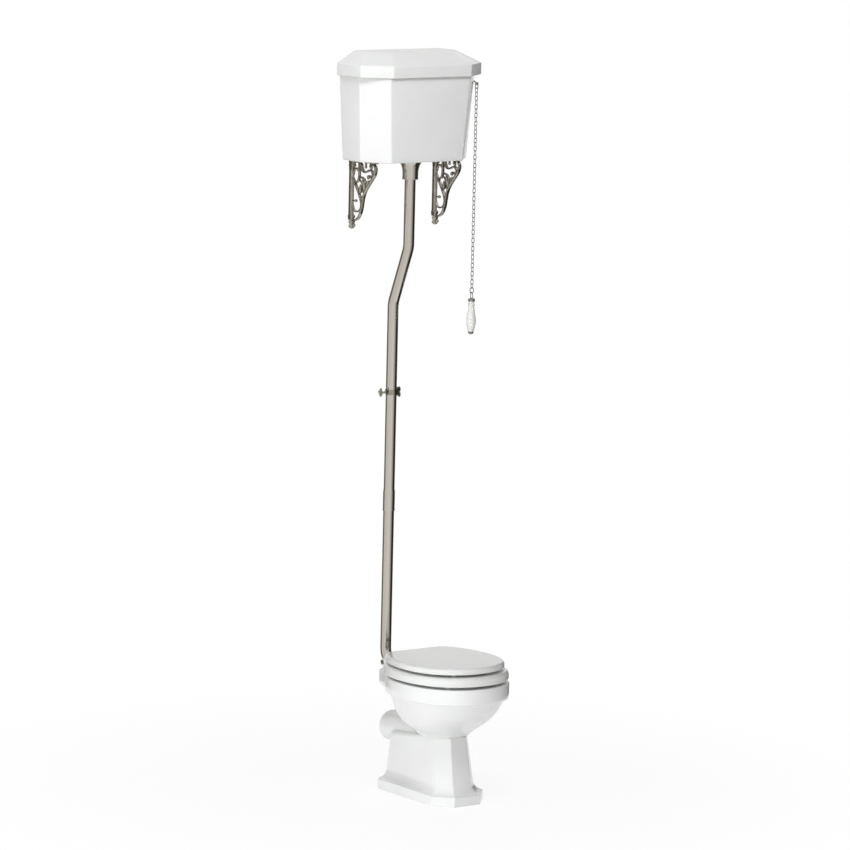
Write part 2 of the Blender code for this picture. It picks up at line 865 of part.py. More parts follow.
def make_seat_lid():
    def ring(inset, z):
        return seat_outline(lid_half_width, lid_front, inset, z)
    body = skin("seat_lid", [
        ring(lid_round * 0.4, lid_bottom),
        ring(0, lid_bottom + lid_round * 0.6),
        ring(0, lid_top - lid_round),
        ring(lid_round * 0.3, lid_top - lid_round * 0.3),
        ring(lid_round, lid_top),
    ])
    lid = place("seat_lid", body, paint(), hinge_point)
    rear = seat_back - slide_gap
    for side in (-1, 1):
        x = side * lid_lug_x
        outline = [
            (seat_back + seat_round * 1.5, lid_bottom + lid_thickness * 0.3),
            (seat_back + seat_round * 1.5, lid_top - lid_round * 0.5),
            (hinge_depth + lug_radius * 0.5, lid_top - lid_round),
            (hinge_depth - lug_radius * 0.8, hinge_height + lug_radius),
            (hinge_depth - lug_radius * 0.9, hinge_height),
            (hinge_depth + lug_radius, hinge_height - lug_radius * 0.2),
            (rear, hinge_height + lug_radius),
            (rear, lid_bottom + lid_thickness * 0.2),
        ]
        arm = skin("lid_lug_arm", [in_section(outline, x - lug_width / 2), in_section(outline, x + lug_width / 2)])
        join(lid, arm)
        join(lid, rod("lid_lug", (x - lug_width / 2, *hinge_point[1:]), (x + lug_width / 2, *hinge_point[1:]),
                      lug_radius, 12))
    cut(lid, rod("lid_lug_bore", (-hinge_bar_half, *hinge_point[1:]), (hinge_bar_half, *hinge_point[1:]),
                 hinge_bar_radius + seat_gap * 2, 12))
    return lid


def make_hinge():
    end = hinge_bar_half + hinge_cap_length
    half = [(0, end), (hinge_cap_radius * 0.7, end - hinge_cap_length * 0.15),
            (hinge_cap_radius, hinge_bar_half + hinge_cap_length * 0.5),
            (hinge_cap_radius, hinge_bar_half), (hinge_bar_radius, hinge_bar_half)]
    profile = half + [(radius, -height) for radius, height in reversed(half)]
    bar = turn_to(turned("hinge_bar", profile, 12), (1, 0, 0), hinge_point)
    place("hinge_bar", bar, nickel(), hinge_point)
    foot = rim_height - shelf_drop + seat_gap
    for side, label in ((-1, "left"), (1, "right")):
        x = side * post_x
        mesh = turned("post", [(0, hinge_height), (post_radius, hinge_height),
                               (post_radius, foot + post_flange_height * 2),
                               (post_flange_radius * 0.8, foot + post_flange_height),
                               (post_flange_radius, foot + post_flange_height * 0.5),
                               (post_flange_radius, foot), (0, foot)], 12)
        mesh.transform(Matrix.Translation((x, out(hinge_depth), 0)))
        post = place("hinge_post_" + label, mesh, nickel(), (x, out(hinge_depth), foot))
        join(post, rod("post_eye", (x - post_width / 2, *hinge_point[1:]), (x + post_width / 2, *hinge_point[1:]),
                       lug_radius - seat_gap, 12))
        join(post, rod("post_bolt", (x, out(hinge_depth), rim_bottom - seat_bolt_reach),
                       (x, out(hinge_depth), foot + overrun / 2), seat_bolt_radius, 8))
        cut(post, rod("post_bore", (x - post_width, *hinge_point[1:]), (x + post_width, *hinge_point[1:]),
                      hinge_bar_radius + seat_gap, 12))
        make_wing_nut("wing_nut_" + label, x)


def make_wing_nut(name, x):
    top = rim_bottom + shelf_drop - seat_gap
    y = out(hinge_depth)
    hub = turned(name, [(0, top), (wing_nut_radius * 1.3, top), (wing_nut_radius * 1.3, top - wing_thickness / 2),
                        (wing_nut_radius, top - wing_thickness), (wing_nut_radius * 0.8, top - wing_nut_height),
                        (0, top - wing_nut_height)], 10)
    hub.transform(Matrix.Translation((x, y, 0)))
    nut = place(name, hub, plastic(), (x, y, top))
    low = top - wing_nut_height
    outline = [(-wing_half_span, low - wing_nut_height * 0.5), (-wing_half_span * 0.9, top - wing_thickness * 1.2),
               (wing_half_span * 0.9, top - wing_thickness * 1.2), (wing_half_span, low - wing_nut_height * 0.5),
               (wing_half_span * 0.5, low), (-wing_half_span * 0.5, low)]
    wings = skin("wings", [[(x + a, y - wing_thickness / 2, z) for a, z in outline],
                           [(x + a, y + wing_thickness / 2, z) for a, z in outline]])
    join(nut, wings)
    cut(nut, rod("nut_bore", (x, y, low - wing_nut_height), (x, y, top + overrun), seat_bolt_radius + seat_gap * 2, 8))


def make_buffers():
    """Soft buffers under the seat and under the lid, each on the piece that it is nailed to."""
    def spot(half_width, front, angle):
        across = math.cos(math.radians(angle))
        along = math.sin(math.radians(angle))
        reach = (front if along > 0 else rim_centre + (rim_centre - seat_back)) - rim_centre - buffer_inset
        return ((half_width - buffer_inset) * across, rim_centre + reach * along)
    places = (("seat", 52, 1), ("seat", 52, -1), ("seat", -40, 1), ("seat", -40, -1), ("lid", 60, 1), ("lid", 60, -1))
    counts = {"seat": 0, "lid": 0}
    for kind, angle, side in places:
        counts[kind] += 1
        if kind == "seat":
            x, depth = spot(seat_half_width, seat_front, angle)
            low, high = rim_height + seat_gap, ring_bottom - seat_gap
        else:
            x, depth = spot(lid_half_width, lid_front, angle)
            low, high = ring_top + seat_gap, lid_bottom - seat_gap
        mesh = turned("buffer", [(0, high), (buffer_radius, high), (buffer_radius, low + (high - low) * 0.3),
                                 (buffer_radius * 0.7, low), (0, low)], 8)
        mesh.transform(Matrix.Translation((side * x, out(depth), 0)))
        place(f"{kind}_buffer_{counts[kind]}", mesh, clear_rubber(), hinge_point)


# Flush pipe


def offset_path():
    """Upper pipe: straight, two easy bends back to the wall, then straight to the joint."""
    run = upper_depth - lower_depth
    fall = offset_top - offset_bottom
    slope = math.degrees(math.atan2(run, fall))
    trim = offset_bend * math.tan(math.radians(slope) / 2)
    high = arc((upper_depth - offset_bend, offset_top + trim), offset_bend, 0, -slope, 3)
    low = arc((lower_depth + offset_bend, offset_bottom - trim), offset_bend, 180 - slope, 180, 3)
    return high + low


def make_pipes():
    socket = (pipe_radius + joint_gap + pipe_wall) / pipe_radius
    swell = 6 * mm
    path = [(upper_depth, pipe_top)] + offset_path()
    shares = [1] * len(path)
    path += [(lower_depth, joint_top + swell), (lower_depth, joint_top), (lower_depth, joint_bottom)]
    shares += [1, socket, socket]
    place("flush_pipe_upper", tube("flush_pipe_upper", in_section(path), pipe_radius, pipe_sides,
                                   radii=shares, hollow=pipe_wall), nickel())
    turn = horn_height + elbow_bend
    elbow = arc((lower_depth + elbow_bend, turn), elbow_bend, 180, 270, 5)
    lower = [(lower_depth, joint_top - joint_gap * 2)] + elbow + [(elbow_end, horn_height)]
    place("flush_pipe_lower", tube("flush_pipe_lower", in_section(lower), pipe_radius, pipe_sides,
                                   hollow=pipe_wall), nickel())


def make_coupling():
    """Nut that holds the pipe's top to the threaded tail above it, inside the bell."""
    low = pipe_top - pipe_nut_height / 2
    wide = clear_of(down_leg_radius, waste_sides)
    narrow = clear_of(pipe_radius, waste_sides)
    nut = turned("coupling_nut", [(pipe_nut_radius, low + pipe_nut_height), (pipe_nut_radius, low), (narrow, low),
                                  (narrow, pipe_top + seat_gap), (wide, pipe_top + seat_gap),
                                  (wide, low + pipe_nut_height)], waste_sides, closed=True)
    nut.transform(Matrix.Translation((0, out(upper_depth), 0)))
    place("coupling_nut", nut, brass())


def make_cone():
    """Rubber cone that seals the elbow in the pan's horn."""
    inner = clear_of(pipe_radius, waste_sides)
    flange = horn_end - seat_gap
    profile = [(inner, cone_nose), (horn_bore - seat_gap * 4, cone_nose), (horn_bore - seat_gap * 2, 0),
               (cone_flange_radius, 0), (cone_flange_radius, -cone_flange * 0.8),
               (cone_flange_radius * 0.9, -cone_flange), (inner, -cone_flange)]
    mesh = turn_to(turned("flush_cone", profile, waste_sides, closed=True), (0, -1, 0),
                   (0, out(flange), horn_height))
    place("flush_cone", mesh, rubber())


def make_shroud():
    """Bell that hides the pipe's union under the cistern: a short flare, a waist and a deep lip."""
    top = tank_bottom - seat_gap
    low = top - shroud_height
    flare = [(shroud_waist_radius + shroud_flare * (1 - share) ** 2, top - shroud_flare_height * share)
             for share in (0.1, 0.35, 0.65, 1.0)]
    lip = low + shroud_lip_height
    outer = [(shroud_top_radius, top)] + flare
    outer += [(shroud_waist_radius, lip), (shroud_lip_radius, lip - shroud_lip), (shroud_lip_radius, low)]
    inner = [(shroud_waist_radius - shroud_wall, low)]
    inner += [(radius - shroud_wall, height) for radius, height in reversed(flare)]
    inner.append((shroud_top_radius - shroud_wall * 2, top))
    mesh = turned("pipe_shroud", outer + inner, waste_sides, closed=True)
    mesh.transform(Matrix.Translation((0, out(upper_depth), 0)))
    place("pipe_shroud", mesh, nickel())


def petal_rose(name, x, direction, radius, thickness, petals=4):
    """Four-petalled rose with a raised boss, facing along X."""
    outline = []
    for i in range(petals * 4):
        angle = 2 * math.pi * i / (petals * 4)
        outline.append((radius * (0.74 + 0.26 * math.cos(petals * angle)) * math.cos(angle),
                        radius * (0.74 + 0.26 * math.cos(petals * angle)) * math.sin(angle)))
    centre = (x, out(lower_depth), clip_height)
    rings = []
    for share, rise in ((0.9, 0), (1.0, 0.4), (0.4, 1.0), (0.25, 2.0)):
        rings.append([(x + direction * rise * thickness, centre[1] + a * share, centre[2] + b * share)
                      for a, b in outline])
    return skin(name, rings)


def make_clip():
    inner = clear_of(pipe_radius, waste_sides)
    outer = inner + clip_wall
    half = clip_length / 2
    mesh = turned("clip", [(outer, half), (outer, -half), (inner, -half), (inner, half)], waste_sides, closed=True)
    mesh.transform(Matrix.Translation((0, out(lower_depth), clip_height)))
    collar = place("pipe_clip", mesh, nickel())
    y = out(lower_depth)
    for side in (-1, 1):
        join(collar, rod("clip_ear", (side * (inner + seat_gap), y, clip_height),
                         (side * (outer + clip_boss_radius * 0.6), y, clip_height), clip_boss_radius, 12))
    cut(collar, block("wall_plane", (-outer, wall_y - seat_gap, clip_height - clip_length),
                      (outer, wall_y + outer, clip_height + clip_length)))
    face = outer + clip_boss_radius * 0.6 + seat_gap
    knob = place("clip_knob", petal_rose("clip_knob", -clip_knob_reach, -1, clip_knob_radius,
                                         clip_petal_thickness), nickel())
    join(knob, rod("clip_stem", (-face, y, clip_height), (-clip_knob_reach - seat_gap, y, clip_height),
                   clip_stem_radius, 10))
    place("clip_rose", petal_rose("clip_rose", face, 1, clip_rose_radius, clip_petal_thickness), nickel())


# Cistern


def tank_half_width(z):
    share = (z - tank_bottom) / (tank_top - tank_bottom)
    return tank_bottom_half_width + (tank_top_half_width - tank_bottom_half_width) * share


def tank_front(z):
    share = (z - tank_bottom) / (tank_top - tank_bottom)
    return tank_bottom_front + (tank_top_front - tank_bottom_front) * share


def tank_ring(inset, z):
    slant = inset * math.tan(math.radians(22.5))
    return octagon(tank_half_width(z) - inset, tank_front(z) - inset, tank_back + inset,
                   tank_corner_x - slant, tank_corner_y - slant, tank_wall / 2, z)


def make_tank():
    edge = 3 * mm
    body = skin("cistern_tank", [tank_ring(edge, tank_bottom), tank_ring(0, tank_bottom + edge), tank_ring(0, tank_top)])
    tank = place("cistern_tank", body, ceramic())
    cut(tank, skin("tank_inside", [
        tank_ring(tank_wall * 1.5, tank_bottom + tank_floor),
        tank_ring(tank_wall, tank_bottom + tank_floor * 1.6),
        tank_ring(tank_wall, tank_top + overrun),
    ]))
    cut(tank, rod("outlet_hole", (0, out(upper_depth), tank_bottom - overrun),
                  (0, out(upper_depth), tank_bottom + tank_floor + overrun), down_leg_radius + slide_gap, 20))
    reach = tank_half_width(tank_top)
    cut(tank, rod("inlet_hole", (reach - tank_wall * 3, out(valve_depth), valve_height),
                  (reach + overrun, out(valve_depth), valve_height), inlet_radius + slide_gap / 2, 14))
    slot = lever_width / 2 + slide_gap
    cut(tank, block("lever_slot", (reach - tank_wall * 2, out(upper_depth) - slot, lever_height - lever_drop),
                    (reach + overrun, out(upper_depth) + slot, tank_top + overrun)))
    for side in (-1, 1):
        cut(tank, rod("screw_hole", (side * bracket_x, out(tank_back - overrun), tank_screw_height()),
                      (side * bracket_x, out(tank_back + tank_wall + overrun), tank_screw_height()),
                      bracket_screw_radius + slide_gap / 2, 10))
    return tank


def tank_screw_height():
    return tank_top - lid_top_skirt * 1.5


def tank_screw(name, x):
    inner = tank_back + tank_wall
    profile = [(0, bracket_screw_head * 0.8), (bracket_screw_head * 1.2, bracket_screw_head * 0.5),
               (bracket_screw_head * 1.5, seat_gap), (bracket_screw_radius, seat_gap),
               (bracket_screw_radius, -inner + seat_gap), (0, -inner + seat_gap)]
    mesh = turn_to(turned(name, profile, 6), (0, -1, 0), (x, out(inner), tank_screw_height()))
    place(name, mesh, brass())


def cover_ring(inset, z, extra_x=0.0, extra_y=0.0):
    """Outline of the cistern cover, drawn in by an inset all round and by more at sides and front."""
    slant = inset * math.tan(math.radians(22.5))
    return octagon(cover_half_width - inset - extra_x, cover_front - inset - extra_y, tank_back + inset,
                   cover_corner_x - slant - extra_x * 0.35, cover_corner_y - slant - extra_y * 0.25,
                   tank_wall / 2, z)


def make_cover():
    low = tank_top + seat_gap
    band = low + lid_top_skirt
    top = band + cover_crown
    edge = 4 * mm
    body = skin("cistern_cover", [
        cover_ring(edge / 2, low),
        cover_ring(0, low + edge / 2),
        cover_ring(0, band - edge),
        cover_ring(edge, band),
        cover_ring(0, top - edge * 0.5, cover_crown_inset_x - edge, cover_crown_inset_y - edge),
        cover_ring(0, top, cover_crown_inset_x, cover_crown_inset_y),
    ])
    cover = place("cistern_cover", body, ceramic(), (0, out(upper_depth), low))
    outer = tank_wall + slide_gap
    inner = outer + cover_lip_wall
    cut(cover, skin("cover_inside", [
        tank_ring(inner, low - overrun),
        tank_ring(inner, band - edge),
        cover_ring(cover_top_wall, top - cover_top_wall, cover_crown_inset_x, cover_crown_inset_y),
    ]))
    lip = place("cover_lip_ring", skin("cover_lip", [tank_ring(outer, low - cover_lip),
                                                     tank_ring(outer, low + edge)]), None, group=cutters)
    cut(lip, skin("lip_inside", [tank_ring(inner, low - cover_lip - overrun),
                                 tank_ring(inner, low + edge + overrun)]))
    join(cover, bake(lip, weld=False))
    return cover


# Brackets

# Scrolls as shares of the bracket's reach and of its height, from the wall and down from the tank
outer_shares = ((0.85, 0.085), (0.88, 0.038), (0.97, 0.045), (1.0, 0.12), (0.95, 0.2), (0.79, 0.3),
                (0.6, 0.45), (0.51, 0.6), (0.45, 0.72), (0.36, 0.81), (0.08, 0.89))
inner_shares = ((0.08, 0.25), (0.34, 0.45), (0.45, 0.56), (0.475, 0.65), (0.4, 0.725),
                (0.24, 0.735), (0.13, 0.68), (0.1, 0.62))
wave_shares = ((0.28, 0.019), (0.42, 0.04), (0.49, 0.125), (0.62, 0.155), (0.78, 0.118), (0.88, 0.14), (0.93, 0.2))
spur_shares = ((0.36, 0.009), (0.36, 0.24), (0.32, 0.3), (0.21, 0.325))
leaf_shares = ((0.36, 0.26), (0.46, 0.25), (0.55, 0.28), (0.6, 0.36), (0.6, 0.43))
curl_shares = ((0.86, 0.25), (0.79, 0.2), (0.72, 0.22))
stub_shares = ((0.05, 0.59), (0.24, 0.59))
drop_shares = ((0.61, 0.009), (0.61, 0.08))
ball_shares = ((0.85, 0.09), (0.72, 0.22), (0.24, 0.59), (0.61, 0.08), (0.31, 0.14))


def bracket_bar_mesh(name, shares, width_share, top):
    """Scroll bar: a flat strip on edge with rounded faces that follows the shares."""
    curve = bpy.data.curves.new(name, "CURVE")
    curve.dimensions = "3D"
    curve.extrude = (bracket_bar * width_share - bracket_rod) / 2
    curve.bevel_depth = bracket_rod / 2
    curve.bevel_resolution = 0
    curve.use_fill_caps = True
    spline = curve.splines.new("POLY")
    spline.points.add(len(shares) - 1)
    for point, (across, down) in zip(spline.points, shares):
        point.co = (across * bracket_reach, -down * bracket_height, 0, 1)
    holder = bpy.data.objects.new(name + "_path", curve)
    cutters.objects.link(holder)
    mesh = bake(holder)
    stand_up(mesh, top)
    return mesh


def stand_up(mesh, top):
    """Turn a flat drawing of depth and height, made in X and Y, into the section plane."""
    for vert in mesh.vertices:
        depth, height, across = vert.co
        vert.co = (across, out(depth), top + height)
    build = bmesh.new()
    build.from_mesh(mesh)
    bmesh.ops.recalc_face_normals(build, faces=build.faces)
    build.to_mesh(mesh)
    build.free()


def make_bracket():
    top = tank_bottom - seat_gap
    half = bracket_bar * 0.54
    foot = top - bracket_height
    wide = bracket_shelf_width / 2
    near = seat_gap
    column = block("bracket", (-half, out(bracket_column), foot + bracket_base), (half, out(near), top - overrun / 2))
    bracket = place("bracket_left", column, nickel())
    tip = [(-wide, near), (-wide, bracket_reach), (0, bracket_shelf_reach), (wide, bracket_reach), (wide, near)]
    shelf = skin("bracket_shelf", [[(x, out(depth), top - bracket_shelf) for x, depth in tip],
                                   [(x, out(depth), top) for x, depth in tip]])
    join(bracket, shelf)
    cap = half * 1.35
    join(bracket, block("capital", (-cap, out(bracket_column * 1.25), top - bracket_height * 0.11),
                        (cap, out(near * 2), top - bracket_shelf / 2)))
    join(bracket, block("base", (-cap, out(bracket_column * 1.2), foot + bracket_base * 0.8),
                        (cap, out(near * 2), foot + bracket_base * 1.9)))
    join(bracket, turn_to(ball("foot_ball", (0, 0, 0), bracket_base / 2, 8, 5), (0, 0, 1),
                          (0, out(bracket_column / 2 + bracket_base * 0.1), foot + bracket_base * 0.5)))
    scrolls = (outer_shares, inner_shares, wave_shares, spur_shares, leaf_shares, curl_shares, stub_shares, drop_shares)
    # Shares of the bar's width, each bar a little narrower than the one that it springs from
    widths = (1.0, 0.9, 0.95, 0.85, 0.8, 0.78, 0.72, 0.7)
    for i, (shares, width_share) in enumerate(zip(scrolls, widths)):
        join(bracket, bracket_bar_mesh(f"scroll_{i + 1}", shares, width_share, top))
    for across, down in ball_shares:
        centre = (0, out(across * bracket_reach), top - down * bracket_height)
        join(bracket, turn_to(ball("scroll_ball", (0, 0, 0), bracket_ball, 6, 4), (1, 0, 0), centre))
    for share in (0.2, 0.8):
        z = top - share * bracket_height
        cut(bracket, rod("bracket_hole", (0, out(-overrun), z), (0, out(bracket_reach * 0.6), z),
                         bracket_screw_radius + seat_gap * 1.5, 6))
    mesh = bake(bracket, weld=False)
    for side, label in ((-1, "left"), (1, "right")):
        copy = mesh.copy()
        copy.transform(Matrix.Translation((side * bracket_x, 0, 0)))
        place("bracket_" + label, copy, None)
        for i, share in enumerate((0.2, 0.8)):
            bracket_screw(f"bracket_screw_{label}_{i + 1}", side * bracket_x, top - share * bracket_height)


def bracket_screw(name, x, z):
    front = bracket_column + seat_gap
    profile = [(0, bracket_screw_head * 0.6), (bracket_screw_head * 0.8, bracket_screw_head * 0.35),
               (bracket_screw_head, 0), (bracket_screw_radius, 0),
               (bracket_screw_radius, -front + seat_gap), (0, -front + seat_gap)]
    place(name, turn_to(turned(name, profile, 6), (0, -1, 0), (x, out(front), z)), nickel())


# Siphon and lift

def hex_nut(name, start, end, radius, bore):
    """Six-sided nut with a round bore."""
    nut = place(name, rod(name, start, end, radius, 6), brass())
    along = (Vector(end) - Vector(start)).normalized() * overrun
    cut(nut, rod("nut_bore", Vector(start) - along, Vector(end) + along, clear_of(bore, waste_sides), waste_sides))
    return nut


def make_siphon():
    y = out(upper_depth)
    crown_top = chamber_top + crown_height
    wall = siphon_wall

    def crown(inset, low, high):
        left = chamber_x - chamber_radius + inset
        right = down_leg_radius - inset
        small = down_leg_radius - inset
        big = chamber_radius - inset
        outline = [(left + big + big * math.cos(math.radians(a)), big * math.sin(math.radians(a)))
                   for a in range(90, 271, 30)]
        outline += [(right - small + small * math.cos(math.radians(a)), small * math.sin(math.radians(a)))
                    for a in range(-90, 91, 36)]
        rings = []
        for share, z in ((1, low), (1, high - (high - low) * 0.3), (0.85, high)):
            middle = (left + right) / 2
            rings.append([(middle + (a - middle) * share, y + b * share, z) for a, b in outline])
        return rings
    body = place("siphon", rod("siphon", (chamber_x, y, chamber_bottom), (chamber_x, y, chamber_top + wall),
                               chamber_radius, 16), plastic())
    tail = tank_bottom - tail_length
    join(body, rod("down_leg", (0, y, tail), (0, y, chamber_top + wall * 2), down_leg_radius, 14))
    join(body, skin("crown", crown(-slide_gap, chamber_top, crown_top)))
    join(body, rod("siphon_flange", (0, y, tank_bottom + tank_floor + seat_gap),
                   (0, y, tank_bottom + tank_floor + seat_gap + wall), down_leg_radius * 1.45, 14))
    cut(body, rod("chamber_bore", (chamber_x, y, chamber_bottom - overrun), (chamber_x, y, chamber_top + wall * 2),
                  chamber_radius - wall, 16))
    cut(body, rod("leg_bore", (0, y, tail - overrun), (0, y, chamber_top + wall * 3), down_leg_radius - wall, 14))
    cut(body, skin("crown_inside", crown(wall - slide_gap / 2, chamber_top + wall, crown_top - wall)))
    cut(body, rod("rod_guide", (chamber_x, y, crown_top - wall * 3), (chamber_x, y, crown_top + overrun),
                  rod_radius + seat_gap * 3, 10))
    nut_top = tank_bottom - seat_gap * 2
    hex_nut("siphon_back_nut", (0, y, nut_top - back_nut_height), (0, y, nut_top), back_nut_radius,
            down_leg_radius)
    return body


def make_lift():
    y = out(upper_depth)
    plate_top = chamber_bottom + lift_plate_thickness * 3
    eye_low = lever_height - lift_eye_height
    profile = [(0, eye_low + overrun), (rod_radius, eye_low + overrun), (rod_radius, plate_top),
               (chamber_radius - siphon_wall - slide_gap, plate_top),
               (chamber_radius - siphon_wall - slide_gap, plate_top - lift_plate_thickness),
               (0, plate_top - lift_plate_thickness)]
    mesh = turned("lift_rod", profile, 12)
    mesh.transform(Matrix.Translation((chamber_x, y, 0)))
    lift = place("lift_rod", mesh, brass(), (chamber_x, y, eye_low))
    thin = lift_eye_thickness / 2
    join(lift, block("lift_eye", (chamber_x - thin, y - lift_eye_width / 2, eye_low),
                     (chamber_x + thin, y + lift_eye_width / 2, lever_height + lift_eye_height / 2)))
    slack = slide_gap * 1.4
    cut(lift, block("eye_slot", (chamber_x - rod_radius * 2, y - lever_width / 2 - slide_gap / 2,
                                 lever_height - lever_thickness / 2 - slack),
                    (chamber_x + rod_radius * 2, y + lever_width / 2 + slide_gap / 2,
                     lever_height + lever_thickness / 2 + slack)))
    return lift


# Lever, chain and handle

lever_pivot = (lever_pivot_x, out(upper_depth), lever_height)
eye_centre = (chain_x, out(upper_depth), lever_height - lever_drop)


def make_lever():
    y = out(upper_depth)
    half = lever_thickness / 2
    start = chamber_x - lever_tip
    knee = tank_top_half_width + lever_thickness
    outline = [
        (start, lever_height - half), (start, lever_height + half),
        (knee, lever_height + half), (chain_x + half, eye_centre[2] + lever_eye_radius * 0.6),
        (chain_x - half, eye_centre[2] - half * 0.5), (knee - half, lever_height - half),
    ]
    mesh = skin("flush_lever", [[(x, y - lever_width / 2, z) for x, z in outline],
                                [(x, y + lever_width / 2, z) for x, z in outline]])
    lever = place("flush_lever", mesh, nickel(), lever_pivot)
    join(lever, rod("lever_eye", (chain_x, y - lever_width / 2, eye_centre[2]),
                    (chain_x, y + lever_width / 2, eye_centre[2]), lever_eye_radius, 10))
    join(lever, rod("lever_boss", (lever_pivot_x, y - lever_width / 2, lever_height),
                    (lever_pivot_x, y + lever_width / 2, lever_height), lever_pin_radius * 2.6, 12))
    cut(lever, rod("eye_hole", (chain_x, y - lever_width, eye_centre[2]), (chain_x, y + lever_width, eye_centre[2]),
                   lever_eye_hole, 8))
    cut(lever, rod("pin_hole", (lever_pivot_x, y - lever_width, lever_height),
                   (lever_pivot_x, y + lever_width, lever_height), lever_pin_radius + seat_gap, 12))
    return lever


def make_fulcrum():
    y = out(upper_depth)
    gap = lever_width / 2 + slide_gap / 2
    outer = gap + fulcrum_cheek
    low = lever_height - fulcrum_height + lever_thickness * 1.5
    high = lever_height + lever_thickness * 1.5
    wall_low = tank_half_width(low) - tank_wall - seat_gap
    wall_high = tank_half_width(high) - tank_wall - seat_gap
    left = lever_pivot_x - lever_thickness * 1.5
    outline = [(left, lever_height - lever_thickness), (left, high), (wall_high, high), (wall_low, low),
               (wall_low - fulcrum_plate * 2, low)]
    mesh = skin("fulcrum", [[(x, y - outer, z) for x, z in outline], [(x, y + outer, z) for x, z in outline]])
    fulcrum = place("lever_fulcrum", mesh, brass())
    cut(fulcrum, block("fulcrum_slot", (left - overrun, y - gap, low - overrun),
                       (wall_low - fulcrum_plate, y + gap, high + overrun)))
    cut(fulcrum, block("fulcrum_notch", (left - overrun, y - gap, lever_height - lever_drop * 0.7),
                       (wall_high + overrun, y + gap, high + overrun)))
    cut(fulcrum, rod("fulcrum_bore", (lever_pivot_x, y - outer * 2, lever_height),
                     (lever_pivot_x, y + outer * 2, lever_height), lever_pin_radius + seat_gap, 12))
    pin = turned("lever_pin", [(0, outer + fulcrum_cheek * 0.6), (lever_pin_radius * 1.7, outer + fulcrum_cheek * 0.6),
                               (lever_pin_radius * 1.7, outer + seat_gap), (lever_pin_radius, outer + seat_gap),
                               (lever_pin_radius, -outer - fulcrum_cheek * 0.6), (0, -outer - fulcrum_cheek * 0.6)], 12)
    place("lever_pin", turn_to(pin, (0, -1, 0), lever_pivot), brass())


def link_points(half_width, half_length, count=6):
    """Oval link centre line in the X-Z plane: two half circles joined by straight sides."""
    points = []
    for i in range(count):
        angle = 2 * math.pi * (i + 0.5) / count
        x = half_width * math.cos(angle)
        z = half_width * math.sin(angle)
        shift = half_length - half_width
        points.append((x, 0, z + math.copysign(shift, z)))
    return points


def make_chain():
    """Oval links, each turned a quarter from the next and bearing on it where the wires cross."""
    y = out(upper_depth)
    hook_centre = eye_centre[2] - lever_eye_hole - hook_radius + chain_wire * 1.5
    hook = tube("hook", link_points(hook_radius, hook_radius * 1.15, 10), chain_wire * 1.25, 6, cyclic=True)
    turn = Matrix.Rotation(math.radians(90), 4, "Z")
    hook.transform(turn)
    hook.transform(Matrix.Translation((chain_x, y, hook_centre)))
    top = hook_centre - hook_radius * 1.15 + chain_wire * 2.2 + seat_gap
    count = 2 * round((top - chain_bottom) / chain_pitch / 2)
    pitch = (top - chain_bottom) / count
    half_length = pitch / 2 + chain_wire * 0.5
    link = tube("link", link_points(chain_link_half_width - chain_wire, half_length), chain_wire, 4, cyclic=True)
    groups = []
    for parity in (0, 1):
        build = bmesh.new()
        for i in range(parity, count, 2):
            copy = link.copy()
            if parity:
                copy.transform(turn)
            copy.transform(Matrix.Translation((chain_x, y, top - pitch * (i + 0.5))))
            build.from_mesh(copy)
            bpy.data.meshes.remove(copy)
        mesh = bpy.data.meshes.new("links")
        build.to_mesh(mesh)
        build.free()
        groups.append(mesh)
    chain = place("pull_chain", groups[0], nickel(), (chain_x, y, hook_centre))
    join(chain, groups[1])
    place("chain_hook", hook, nickel(), eye_centre)
    return top


